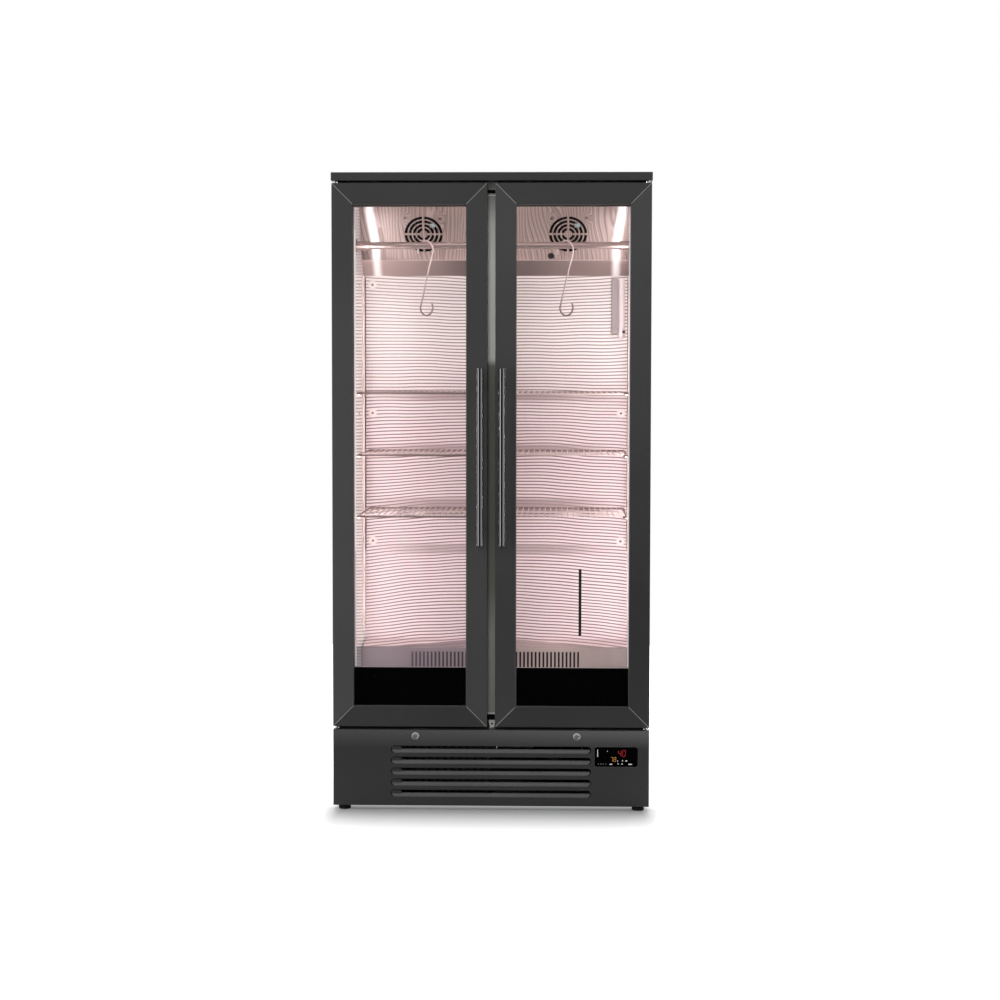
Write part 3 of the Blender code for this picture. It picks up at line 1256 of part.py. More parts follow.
def door(word, side):
    """Four mitred bars, the glass unit, the gasket and the handle, all on the hinge's axis."""
    edges = sorted((side * DOOR_INNER, side * DOOR_OUTER))
    low = (edges[0], DOOR_BOTTOM)
    high = (edges[1], DOOR_TOP)
    hinge = side * (DOOR_OUTER - HINGE_INSET)
    outline = frame_profile()
    prefix = word + "_door_"
    top = mitred_bar(prefix + "top_rail", outline, low, high, "top")
    bottom = mitred_bar(prefix + "bottom_rail", outline, low, high, "bottom")
    outer_edge, inner_edge = ("left", "right") if side < 0 else ("right", "left")
    hinge_stile = mitred_bar(prefix + "hinge_stile", outline, low, high, outer_edge)
    handle_stile = mitred_bar(prefix + "handle_stile", outline, low, high, inner_edge)
    hole = circle((hinge, FRONT + HINGE_SETBACK), PIN_RADIUS + PIN_CLEAR, 12)
    bore = bmesh.new()
    add_prism(bore, hole, "z", DOOR_TOP - PIN_HOLE, DOOR_TOP + CUT)
    cut(top, bore)
    pockets = bmesh.new()
    add_prism(pockets, hole, "z", DOOR_BOTTOM - CUT, DOOR_BOTTOM + PIN_HOLE)
    lock = LOCK_LEFT if side < 0 else LOCK_RIGHT
    rise = LOCK_HEIGHT + CAM_LENGTH + CAM_CLEAR
    swing = math.sqrt(max(CAM_LENGTH ** 2 - (DOOR_BOTTOM - LOCK_HEIGHT) ** 2, CAM_CLEAR ** 2))
    add_box(pockets, (lock - CAM_WIDTH / 2 - CAM_CLEAR, cam_start() - CAM_CLEAR, DOOR_BOTTOM - CUT),
            (lock + swing + CAM_CLEAR, cam_start() + CAM_THICK + CAM_CLEAR,
             max(rise, DOOR_BOTTOM + CAM_CLEAR)))
    cut(bottom, pockets)
    glass = glazing(prefix + "glazing", low, high)
    seal = ring_seal(prefix + "gasket", gasket_profile(), low, high)
    bar = handle(prefix + "handle", side * (DOOR_INNER + HANDLE_FROM_EDGE))
    carry(prefix + "hinge", (hinge, FRONT + HINGE_SETBACK, DOOR_BOTTOM),
          [top, bottom, hinge_stile, handle_stile, glass, seal, bar])


def hinge_bracket(name, side, upper):
    """Pressed steel bracket: a leg on the body's face, a tapered tongue, a bush and a pin."""
    pin_x = side * (DOOR_OUTER - HINGE_INSET)
    pin_y = FRONT + HINGE_SETBACK
    back = CASE_FRONT - BRACKET_CLEAR
    outer = side * (DOOR_OUTER - HINGE_INSET + BRACKET_NOSE)
    inner = side * (DOOR_OUTER - BRACKET_SPAN)
    if upper:
        far = TOP_UNDER - BRACKET_CLEAR
        near = far - BRACKET_THICK
        leg = (near - BRACKET_LEG, far - BRACKET_THICK / 2)
        stop, tip = DOOR_TOP + FIT, DOOR_TOP - PIN_REACH
        root = near + BRACKET_THICK / 2
    else:
        far = KICK_TOP + BRACKET_CLEAR
        near = far + BRACKET_THICK
        leg = (far + BRACKET_THICK / 2, near + BRACKET_LEG)
        stop, tip = DOOR_BOTTOM - FIT, DOOR_BOTTOM + PIN_REACH
        root = near - BRACKET_THICK / 2
    turn = -math.pi / 2
    nose = arc((pin_x, pin_y), BRACKET_NOSE, turn + side * math.pi / 2, turn - side * math.pi / 6, 5)
    outline = [(outer, back)] + nose + [(inner, back - BRACKET_THICK), (inner, back)]
    mesh = bmesh.new()
    add_prism(mesh, outline, "z", min(near, far), max(near, far))
    bracket = piece(name, mesh, CHROME)
    additions = bmesh.new()
    add_box(additions, (min(outer, inner), back - BRACKET_THICK + FIT, leg[0]),
            (max(outer, inner), back - FIT / 2, leg[1]))
    weld(bracket, additions)
    pin = bmesh.new()
    profile = [(0, root), (BUSH_RADIUS, root), (BUSH_RADIUS, stop), (PIN_RADIUS, stop),
               (PIN_RADIUS, tip), (0, tip)]
    add_turned(pin, profile, "z", (pin_x, pin_y), 14)
    weld(bracket, pin)
    return bracket


# Refrigeration in the machine room

def condenser():
    """Finned condenser behind the louvres, with its fan shroud, motor and rotor."""
    floor = BASE_CLEAR + PAN_THICK + FIT
    near = FRONT + CONDENSER_SETBACK
    right = CONDENSER_LEFT + CONDENSER_WIDTH
    top = floor + CONDENSER_HEIGHT
    finned_block("condenser_coil", (CONDENSER_LEFT, near, floor),
                 (right, near + CONDENSER_DEPTH, top), CONDENSER_FINS, CONDENSER_DEPTH / 2)
    face = near + CONDENSER_DEPTH + FIT
    middle = (CONDENSER_LEFT + CONDENSER_WIDTH / 2, floor + CONDENSER_HEIGHT / 2)
    fan_frame("condenser_fan_shroud", middle, face, CONDENSER_FAN, 0.0,
              ((CONDENSER_LEFT, floor), (right, top)))
    rotor = fan_rotor("condenser_fan", middle, face, CONDENSER_FAN, 0.0)
    carry("condenser_fan_axis", (middle[0], face, middle[1]), [rotor])


def compressor():
    """Hermetic compressor on a plate with four rubber-mounted corners."""
    floor = BASE_CLEAR + PAN_THICK + FIT
    plate = floor + GROMMET_HEIGHT
    x, y = COMPRESSOR_X, COMPRESSOR_Y
    mesh = bmesh.new()
    add_box(mesh, (x - COMPRESSOR_PLATE_X, y - COMPRESSOR_PLATE_Y, plate),
            (x + COMPRESSOR_PLATE_X, y + COMPRESSOR_PLATE_Y, plate + COMPRESSOR_PLATE_THICK))
    unit = piece("compressor", mesh, BLACK_PLASTIC)
    low = plate + COMPRESSOR_PLATE_THICK / 2
    dome = [(COMPRESSOR_RADIUS * math.cos(turn), low + COMPRESSOR_HEIGHT * (0.6 + 0.4 * math.sin(turn)))
            for turn in (0.0, 0.5, 1.0, 1.3)]
    profile = [(0, low), (COMPRESSOR_RADIUS * 0.85, low),
               (COMPRESSOR_RADIUS, low + COMPRESSOR_HEIGHT / 6), *dome, (0, low + COMPRESSOR_HEIGHT)]
    can = bmesh.new()
    add_turned(can, profile, "z", (x, y), 16)
    weld(unit, can)
    box = bmesh.new()
    width, depth, height = TERMINAL_BOX
    add_box(box, (x - COMPRESSOR_RADIUS - width / 2, y - depth / 2, low + height / 2),
            (x - COMPRESSOR_RADIUS + width / 2, y + depth / 2, low + 3 * height / 2))
    weld(unit, box)
    mounts = bmesh.new()
    inset = GROMMET_RADIUS + SHEET
    for across in (-1, 1):
        for along in (-1, 1):
            corner = (x + across * (COMPRESSOR_PLATE_X - inset), y + along * (COMPRESSOR_PLATE_Y - inset))
            add_prism(mounts, circle(corner, GROMMET_RADIUS, 10), "z", floor,
                      plate + COMPRESSOR_PLATE_THICK / 2)
    weld(unit, mounts)
    return unit


top_panel()
side_panel("side_panel_left", -1)
side_panel("side_panel_right", 1)
rear_panel()
base_pan()
feet()
sill_deck()
door_header()
insulation()
liner()
centre_mullion()
cooler_cover()
evaporator_coil()
cooler_fans()
hanging_rail()
hooks()
shelf_uprights()
shelves()
led_strips()
germ_lamp()
return_air_cover()
kick_panel()
controller()
door_locks()
door("left", -1)
door("right", 1)
hinge_bracket("hinge_bracket_left_upper", -1, True)
hinge_bracket("hinge_bracket_left_lower", -1, False)
hinge_bracket("hinge_bracket_right_upper", 1, True)
hinge_bracket("hinge_bracket_right_lower", 1, False)
condenser()
compressor()
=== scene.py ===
"""Dry ageing cabinet with two glass doors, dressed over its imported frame.

Metres, +Z up, the doors face -Y. Sections follow the cabinet as it is put together.
"""
import math

import bmesh
import bpy
from mathutils import Matrix, Vector


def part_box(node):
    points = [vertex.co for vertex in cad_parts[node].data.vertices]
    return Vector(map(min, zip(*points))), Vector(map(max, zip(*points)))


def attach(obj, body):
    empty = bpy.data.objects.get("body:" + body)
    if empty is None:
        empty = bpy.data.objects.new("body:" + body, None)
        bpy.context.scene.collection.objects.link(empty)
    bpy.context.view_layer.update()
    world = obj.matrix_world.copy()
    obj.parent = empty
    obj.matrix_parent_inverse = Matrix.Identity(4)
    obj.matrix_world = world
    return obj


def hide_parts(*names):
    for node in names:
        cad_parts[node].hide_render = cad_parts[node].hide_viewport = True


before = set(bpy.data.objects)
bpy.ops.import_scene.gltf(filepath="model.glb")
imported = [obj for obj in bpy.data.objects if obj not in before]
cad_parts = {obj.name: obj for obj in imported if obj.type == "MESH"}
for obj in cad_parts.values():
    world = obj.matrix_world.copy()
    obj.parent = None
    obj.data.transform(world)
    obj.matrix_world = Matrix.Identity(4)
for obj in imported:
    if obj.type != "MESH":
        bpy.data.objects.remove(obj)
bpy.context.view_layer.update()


# Camera. A long lens stands a little right of the middle at chest height, turned slightly
# left and down, as in the photograph.
CAMERA_PLACE = Vector((0.196444, -6.3575, 1.238956))
CAMERA_YAW = 0.028079
CAMERA_PITCH = 0.058202
CAMERA_ROLL = 0.00124
CAMERA_LENS = 78.2246
CAMERA_SENSOR = 36.0
CAMERA_CLIP = (0.05, 60.0)

ahead = Vector((-math.sin(CAMERA_YAW) * math.cos(CAMERA_PITCH),
                math.cos(CAMERA_YAW) * math.cos(CAMERA_PITCH), -math.sin(CAMERA_PITCH)))
level = Vector((math.cos(CAMERA_YAW), math.sin(CAMERA_YAW), 0.0))
upright = level.cross(ahead)
across = math.cos(CAMERA_ROLL) * level + math.sin(CAMERA_ROLL) * upright
above = math.cos(CAMERA_ROLL) * upright - math.sin(CAMERA_ROLL) * level
lens = bpy.data.cameras.new("camera")
lens.lens = CAMERA_LENS
lens.sensor_width = CAMERA_SENSOR
lens.clip_start, lens.clip_end = CAMERA_CLIP
camera = bpy.data.objects.new("camera", lens)
camera.matrix_world = (Matrix.Translation(CAMERA_PLACE)
                       @ Matrix((across, above, -ahead)).transposed().to_4x4())
bpy.context.scene.collection.objects.link(camera)
bpy.context.scene.camera = camera
bpy.context.scene.view_settings.view_transform = "Standard"


# Studio. A white floor in a white room that darkens behind the camera, with a broad box high
# over the cabinet and three in front. Camera, metal and glass see the room as plain white.
FLOOR_SIZE = 7.0
FLOOR_COLOUR = (0.60, 0.60, 0.605)
FLOOR_FAR_COLOUR = (0.03, 0.03, 0.03)    # as metal sees the floor of the dark end
FLOOR_FAR_END = (-0.9, -0.1)             # from there to here the dark end fades in
FLOOR_GLOW_NEAR = 0.05       # painted light that the floor glows with by the cabinet
FLOOR_GLOW_FAR = 1.0         # and out in the open, plain white
FLOOR_GLOW_BENEATH = 0.60    # and more painted light deep under the base, that lifts the shadow there
BENEATH_START = (-0.235, -0.150)
SHADOW_MIDDLE = (0.0, -0.02, 0.0)
SHADOW_HALF = (0.427, 0.25, 10.0)
SHADOW_SIDES = (4.5, 1.0, 1.0)   # the shadow ends faster beside the cabinet than before it
SHADOW_FADE = 0.35           # from the cabinet's foot out to plain white
ROOM_SEEN = 1.0              # plain white, as camera, metal and glass see the room
ROOM_AHEAD = 0.05            # as metal and glass see the dark end behind the camera
ROOM_LIGHT = 0.42            # what the room adds to the light on everything
ROOM_TURN = (-0.68, -0.52)   # where the room turns from dark to white
SOFT_BOXES = (
    ("soft_box_left", (-2.7, -3.05, 1.25), (1.2, 2.4), 37.0),
    ("soft_box_right", (2.87, -2.87, 1.25), (1.2, 2.4), 22.5),
    ("soft_box_top", (0.0, 1.2, 4.8), (2.8, 2.0), 150.0),
)
LIT_POINT = Vector((0.0, 0.0, 0.9))


def let_go():
    """Leave edit mode and deselect everything."""
    if bpy.context.object and bpy.context.object.mode != "OBJECT":
        bpy.ops.object.mode_set(mode="OBJECT")
    bpy.ops.object.select_all(action="DESELECT")


def feed(socket, value):
    """Link an input to a socket or to the first output of a node, or set its value."""
    if isinstance(value, bpy.types.Node):
        value = next(output for output in value.outputs if output.enabled)
    if isinstance(value, bpy.types.NodeSocket):
        socket.id_data.links.new(value, socket)
    elif socket.type == "RGBA":
        socket.default_value = (*value, 1.0)
    elif value is not None:
        socket.default_value = value


def add_node(tree, kind, inputs, **settings):
    """Add a shader node with its settings and with what feeds its inputs."""
    made = tree.nodes.new("ShaderNode" + kind)
    for key, value in settings.items():
        setattr(made, key, value)
    for key, value in inputs.items():
        feed(made.inputs[key], value)
    return made


def maths(operation, *values):
    """A maths node fed by nodes, sockets or plain numbers."""
    tree = next(value.id_data for value in values if hasattr(value, "id_data"))
    return add_node(tree, "Math", dict(enumerate(values)), operation=operation)


def mixed(factor, first, second, blend_type="MIX", data_type="RGBA"):
    """A colour or a number between two others."""
    tree = next(value.id_data for value in (factor, first, second) if hasattr(value, "id_data"))
    return add_node(tree, "Mix", {"Factor": factor, "A": first, "B": second},
                    data_type=data_type, blend_type=blend_type)


def ranged(value, low=0.0, high=1.0, to_low=0.0, to_high=1.0, smooth=False):
    """Carry a value over from one range to another."""
    ends = {"From Min": low, "From Max": high, "To Min": to_low, "To Max": to_high}
    return add_node(value.id_data, "MapRange", {"Value": value, **ends},
                    interpolation_type="SMOOTHSTEP" if smooth else "LINEAR")


def rays(tree):
    """Whether a ray comes off metal or through glass, and whether it comes from the camera."""
    seen = add_node(tree, "LightPath", {}).outputs
    shiny = maths("MAXIMUM", seen["Is Glossy Ray"], seen["Is Transmission Ray"])
    return shiny, seen["Is Camera Ray"]


def place_on(material):
    """The place on the object, for a material's nodes to follow."""
    return add_node(material.node_tree, "TexCoord", {}).outputs["Object"]


def axes(place):
    """The three coordinates of a place."""
    return add_node(place.id_data, "SeparateXYZ", {0: place}).outputs


def new_material(name):
    """A new material with nodes, and the place that they can follow."""
    material = bpy.data.materials.new(name)
    material.use_nodes = True
    return material, place_on(material)


def shade(material, inputs):
    """Feed the shader of a material."""
    shader = material.node_tree.nodes["Principled BSDF"]
    for key, value in inputs.items():
        feed(shader.inputs[key], value)
    return shader


def soft_box(name, place, size, power, aim=LIT_POINT, colour=(1.0, 1.0, 1.0)):
    """A rectangular area lamp turned towards a point."""
    data = bpy.data.lights.new(name, "AREA")
    data.shape = "RECTANGLE"
    data.size, data.size_y = size
    data.energy = power
    data.color = colour
    lamp = bpy.data.objects.new(name, data)
    lamp.location = place
    lamp.rotation_euler = (Vector(aim) - Vector(place)).to_track_quat("-Z", "Y").to_euler()
    bpy.context.scene.collection.objects.link(lamp)
    return lamp


let_go()
bpy.ops.mesh.primitive_plane_add(size=FLOOR_SIZE, location=(0.0, 0.0, 0.0))
floor = bpy.context.object
floor.name = floor.data.name = "floor"
floor_paint, spot = new_material("white_floor")
tree = floor_paint.node_tree
outside = spot
for operation, value in (("SUBTRACT", SHADOW_MIDDLE), ("ABSOLUTE", None),
                         ("SUBTRACT", SHADOW_HALF), ("MAXIMUM", (0.0, 0.0, 0.0)),
                         ("MULTIPLY", SHADOW_SIDES), ("LENGTH", None)):
    outside = add_node(tree, "VectorMath", {0: outside, 1: value}, operation=operation)
# The floor's glow is painted light: it leaves the cabinet's shadow only in a strip by its foot, and
# lifts it deep under the base.
open_floor = ranged(outside, 0.0, SHADOW_FADE, FLOOR_GLOW_NEAR, FLOOR_GLOW_FAR)
forward = axes(spot)["Y"]
dim_end = ranged(forward, *FLOOR_FAR_END, ROOM_AHEAD, 1.0)
beneath = ranged(forward, *BENEATH_START, 0.0, FLOOR_GLOW_BENEATH)
shiny, from_camera = rays(tree)
any_seen = maths("MAXIMUM", maths("MULTIPLY", shiny, dim_end), from_camera)
ahead_seen = maths("MULTIPLY", maths("MULTIPLY_ADD", dim_end, -1.0, 1.0), shiny)
floor_tone = mixed(ahead_seen, FLOOR_COLOUR, FLOOR_FAR_COLOUR)
glow = add_node(tree, "Emission", {
    "Strength": maths("MULTIPLY", any_seen, maths("ADD", open_floor, beneath))})
shader = shade(floor_paint, {"Base Color": floor_tone, "Roughness": 0.9,
                             "Specular IOR Level": 0.1})
both = add_node(tree, "AddShader", {0: shader, 1: glow})
feed(tree.nodes["Material Output"].inputs["Surface"], both)
floor.data.materials.append(floor_paint)

world = bpy.data.worlds.new("white_room")
bpy.context.scene.world = world
world.use_nodes = True
tree = world.node_tree
tree.nodes.clear()
toward = add_node(tree, "TexCoord", {}).outputs["Generated"]
fade = ranged(axes(toward)["Y"], *ROOM_TURN, ROOM_AHEAD, ROOM_SEEN)
shiny, from_camera = rays(tree)
lit = mixed(shiny, ROOM_LIGHT, fade, data_type="FLOAT")
choice = mixed(from_camera, lit, ROOM_SEEN, data_type="FLOAT")
room = add_node(tree, "Background", {"Color": (1.0, 1.0, 1.0), "Strength": choice})
add_node(tree, "OutputWorld", {"Surface": room})

for name, place, size, power in SOFT_BOXES:
    soft_box(name, place, size, power)
front_fill = soft_box("front_fill", (-0.5, -6.6, 2.8), (1.2, 1.2), 90.0)
front_fill.visible_glossy = False


# Painted steel casing: lid, two sides, the strip over the doors and the sill under them. All are
# folded sheets with a fine charcoal powder coat; the door frames and the kick panel share it.
CHARCOAL_LIGHT = (0.0400, 0.0400, 0.0395)
CHARCOAL_DARK = (0.0325, 0.0325, 0.0330)
POWDER_GRAIN = 900.0
POWDER_ROUGH = (0.40, 0.52)


def noise(place, scale, detail=2.0, stretch=None):
    """Noise over a place, which may be stretched first."""
    tree = place.id_data
    if stretch:
        place = add_node(tree, "Mapping", {"Vector": place, "Scale": stretch})
    return add_node(tree, "TexNoise", {"Vector": place, "Scale": scale, "Detail": detail})


def ramp(value, stops):
    """A colour ramp along a value."""
    made = add_node(value.id_data, "ValToRGB", {"Fac": value})
    parts = made.color_ramp.elements
    while len(parts) < len(stops):
        parts.new(0.5)
    for part, (at, colour) in zip(parts, stops):
        part.position = at
        part.color = (*colour, 1.0)
    return made


def relief(height, strength, distance=0.0004):
    """Relief that follows a height."""
    return add_node(height.id_data, "Bump", {
        "Height": height, "Strength": strength, "Distance": distance})


def surface(name, light, dark, grain, rough=(0.35, 0.5), metallic=0.0, bump=0.06,
            stretch=(1.0, 1.0, 1.0), patch=3.0):
    """A material whose colour, roughness and relief follow a stretched grain and slow patches."""
    material, place = new_material(name)
    fine = noise(place, grain, 3.0, stretch)
    tone = maths("MULTIPLY_ADD", fine, 0.55, maths("MULTIPLY", noise(place, patch), 0.45))
    shade(material, {
        "Metallic": metallic, "Base Color": ramp(tone, ((0.35, dark), (0.65, light))),
        "Roughness": ranged(tone, 0.3, 0.7, *rough), "Normal": relief(fine, bump)})
    return material


def wear(part, material):
    """Give a carried-over CAD node a finish."""
    for slot in bpy.data.objects[part].material_slots:
        slot.material = material


powder_coat = surface("charcoal_powder_coat", CHARCOAL_LIGHT, CHARCOAL_DARK, POWDER_GRAIN,
                      rough=POWDER_ROUGH, bump=0.05)
for part in ("top_panel", "side_panel_left", "side_panel_right", "door_header", "sill_deck"):
    wear(part, powder_coat)


# Back and base: galvanised sheet with its spangle. The back is held by pan-head screws all round
# and has two groups of hooded vents; the base is the tray that carries the machinery.
SPANGLE_SCALE = 70.0
SPANGLE_TONES = (0.82, 1.08)
SCREW_RADIUS = 0.0042
SCREW_PROUD = 0.0022
SCREW_MARGIN = 0.012
BACK_SCREW_ROWS = 6
BACK_SCREW_COLUMNS = 4
VENT_COUNT = 6
VENT_WIDTH = 0.24
VENT_PITCH = 0.020
VENT_LOW = 0.062
BACK_SET_IN = 0.004          # how far the back lies inside the rear edges of the sides


def take(thing):
    """Make one object the only selected and the active one."""
    let_go()
    bpy.context.view_layer.objects.active = thing
    thing.select_set(True)


def pick(thing, kind, test):
    """Open a piece in edit mode with only the points, edges or faces selected that pass a test."""
    take(thing)
    bpy.ops.object.mode_set(mode="EDIT")
    bpy.ops.mesh.select_mode(type=kind)
    bpy.ops.mesh.select_all(action="DESELECT")
    shape = bmesh.from_edit_mesh(thing.data)
    for item in {"VERT": shape.verts, "EDGE": shape.edges, "FACE": shape.faces}[kind]:
        if test(item):
            item.select_set(True)
    bmesh.update_edit_mesh(thing.data)


def named(name):
    """Name the object that was just made, and bake its place, turn and size into its mesh."""
    thing = bpy.context.object
    thing.name = thing.data.name = name
    bpy.ops.object.transform_apply(location=True, rotation=True, scale=True)
    return thing


def modified(thing, kind, **settings):
    """Apply one modifier to a piece."""
    take(thing)
    step = thing.modifiers.new("step", kind)
    for key, value in settings.items():
        setattr(step, key, value)
    bpy.ops.object.modifier_apply(modifier=step.name)
    return thing


def block(name, low, high):
    """A cube between two corners, to be shaped further."""
    let_go()
    middle = [(a + b) / 2 for a, b in zip(low, high)]
    bpy.ops.mesh.primitive_cube_add(size=1.0, location=middle)
    bpy.context.object.scale = [b - a for a, b in zip(low, high)]
    return named(name)


def smoothed(thing, angle):
    """Shade a piece smooth between the edges that are sharper than an angle in degrees."""
    take(thing)
    bpy.ops.object.shade_smooth_by_angle(angle=math.radians(angle))
    return thing


def softened(thing, width, segments=2, angle=30.0):
    """Round the sharp edges of a piece and shade it smooth between them."""
    modified(thing, "BEVEL", width=width, segments=segments, limit_method="ANGLE",
             angle_limit=math.radians(angle), harden_normals=False)
    return modified(smoothed(thing, angle), "WEIGHTED_NORMAL", keep_sharp=True)


def open_all():
    """Open the active piece in edit mode with all of it selected."""
    bpy.ops.object.mode_set(mode="EDIT")
    bpy.ops.mesh.select_all(action="SELECT")


def draw_out(step):
    """Extrude what is selected by a step."""
    bpy.ops.mesh.extrude_region_move(TRANSFORM_OT_translate={"value": step})


def close_up(merge=None):
    """Merge points that are nearer than a distance, face all outwards and leave edit mode."""
    bpy.ops.mesh.select_all(action="SELECT")
    if merge:
        bpy.ops.mesh.remove_doubles(threshold=merge)
    bpy.ops.mesh.normals_make_consistent(inside=False)
    bpy.ops.object.mode_set(mode="OBJECT")


def turned(name, axis, place, profile, sides=32, angle=30.0):
    """A lathe-turned piece: a disc drawn out along an axis and resized step by step."""
    way = {"x": Vector((1, 0, 0)), "y": Vector((0, 1, 0)), "z": Vector((0, 0, 1))}[axis]
    turn = {"x": (0, math.pi / 2, 0), "y": (math.pi / 2, 0, 0), "z": (0, 0, 0)}[axis]
    place = Vector(place)
    let_go()
    bpy.ops.mesh.primitive_circle_add(vertices=sides, radius=profile[0][0], fill_type="NGON",
                                      location=place + way * profile[0][1], rotation=turn)
    thing = named(name)
    open_all()
    for (radius, along), (next_radius, next_along) in zip(profile, profile[1:]):
        draw_out(way * (next_along - along))
        if next_radius != radius:
            bpy.ops.transform.resize(value=(next_radius / radius,) * 3,
                                     center_override=place + way * next_along)
    close_up()
    return smoothed(thing, angle)


def curled(name, width, tall, face, foot, depth, rise, steps, thickness):
    """A sheet lip that stands up at its foot and curls away in depth as it rises."""
    let_go()
    bpy.ops.mesh.primitive_plane_add(size=1.0, location=(0.0, face, foot - tall / 2),
                                     rotation=(math.pi / 2, 0.0, 0.0))
    bpy.context.object.scale = (width, tall, 1.0)
    lip = named(name)
    pick(lip, "EDGE", lambda edge: all(point.co.z > foot - tall / 2 for point in edge.verts))
    last = (0.0, 0.0)
    for step in range(1, steps + 1):
        share = step / steps
        now = (depth * share ** 1.5, rise * math.sin(share * math.pi / 2))
        draw_out((0.0, now[0] - last[0], now[1] - last[1]))
        last = now
    bpy.ops.object.mode_set(mode="OBJECT")
    return modified(lip, "SOLIDIFY", thickness=thickness, offset=0.0)


def copied(thing, name, place):
    """A copy of a piece with its own mesh, moved by a vector or by a matrix."""
    take(thing)
    bpy.ops.object.duplicate()
    if not isinstance(place, Matrix):
        place = Matrix.Translation(place)
    bpy.context.object.matrix_world = place
    return named(name)


def repeated(thing, name, places):
    """Copies of a piece at several places, instead of the piece itself."""
    copies = [copied(thing, name, place) for place in places]
    bpy.data.objects.remove(thing, do_unlink=True)
    return copies


def joined(name, things):
    """Several meshes as one object."""
    take(things[0])
    for thing in things:
        thing.select_set(True)
    if len(things) > 1:
        bpy.ops.object.join()
    return named(name)


def carved(thing, cutters, operation="DIFFERENCE"):
    """Take the shapes of the cutters out of a piece, then drop the cutters."""
    tool = joined("cutter", cutters)
    modified(thing, "BOOLEAN", operation=operation, solver="EXACT", object=tool)
    bpy.data.objects.remove(tool, do_unlink=True)
    return thing


def dress(thing, material, body="cabinet", stands_for=()):
    """Give a new piece its finish, the body it rides on and what it replaces."""
    thing.data.materials.clear()
    thing.data.materials.append(material)
    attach(thing, body)
    if stands_for:
        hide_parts(*stands_for)
    return thing


def screw(name, place, axis, radius=SCREW_RADIUS, proud=SCREW_PROUD, way=-1):
    """A pan-head screw with a cross recess; way is the side of the axis that its head looks to."""
    head = turned(name, axis, place, [
        (radius, 0.0), (radius, way * proud * 0.35), (radius * 0.86, way * proud * 0.75),
        (radius * 0.55, way * proud), (radius * 0.50, way * proud)], sides=16, angle=50.0)
    reach = radius * 0.42
    thin = radius * 0.13
    index = "xyz".index(axis)
    tools = []
    for turn in range(2):
        half = [reach, reach, reach]
        half[index] = proud * 0.45
        half[[i for i in range(3) if i != index][turn]] = thin
        middle = Vector(place)
        middle[index] += way * proud
        tools.append(block("recess", middle - Vector(half), middle + Vector(half)))
    for tool in tools:
        carved(head, [tool])
    return head


def tinted(material, tint):
    """Multiply the colour of a material by a tint."""
    plain = material.node_tree.nodes["Principled BSDF"].inputs["Base Color"].links[0].from_socket
    shade(material, {"Base Color": mixed(1.0, plain, tint, "MULTIPLY")})


galvanised = surface("galvanised_sheet", (0.43, 0.44, 0.45), (0.37, 0.38, 0.39), 240.0,
                     rough=(0.30, 0.42), metallic=0.85, bump=0.03, patch=2.0)
crystals = add_node(galvanised.node_tree, "TexVoronoi", {
    "Vector": place_on(galvanised), "Scale": SPANGLE_SCALE, "Randomness": 1.0})
tinted(galvanised, ranged(crystals.outputs["Color"], 0.0, 1.0, *SPANGLE_TONES))
screw_steel = surface("plated_screw_steel", (0.62, 0.61, 0.60), (0.50, 0.49, 0.48), 900.0,
                      rough=(0.2, 0.32), metallic=1.0, bump=0.02)
wear("rear_panel", galvanised)
wear("base_pan", galvanised)
back_low, back_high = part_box("rear_panel")
back_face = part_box("side_panel_left")[1][1] - BACK_SET_IN
first = screw("back_screw", (back_low[0] + SCREW_MARGIN, back_face, back_low[2] + SCREW_MARGIN),
              "y", way=1)
step_up = (back_high[2] - back_low[2] - 2 * SCREW_MARGIN) / BACK_SCREW_ROWS
step_across = (back_high[0] - back_low[0] - 2 * SCREW_MARGIN) / BACK_SCREW_COLUMNS
screws = repeated(first, "back_screw", [
    (column * step_across, 0.0, row * step_up)
    for row in range(BACK_SCREW_ROWS + 1) for column in range(BACK_SCREW_COLUMNS + 1)
    if row in (0, BACK_SCREW_ROWS) or column in (0, BACK_SCREW_COLUMNS)])
dress(joined("back_screws", screws), screw_steel)
first = curled("hood", VENT_WIDTH - 0.001, 0.0016, back_face - 0.0014, VENT_LOW,
               depth=-0.0085, rise=0.0105, steps=6, thickness=0.0008)
hoods = repeated(first, "hood", [(middle, 0.0, row * VENT_PITCH)
                                 for middle in (-VENT_WIDTH, VENT_WIDTH / 2)
                                 for row in range(VENT_COUNT)])
dress(joined("back_vent_hoods", hoods), galvanised)


# Levelling feet: moulded black discs on zinc-plated studs, each with a jam nut under the base.
FOOT_COVE = 0.0030
NUT_RADIUS = 0.0085
NUT_LOW = 0.0097
NUT_HIGH = 0.0136
STUD_RADIUS = 0.0048

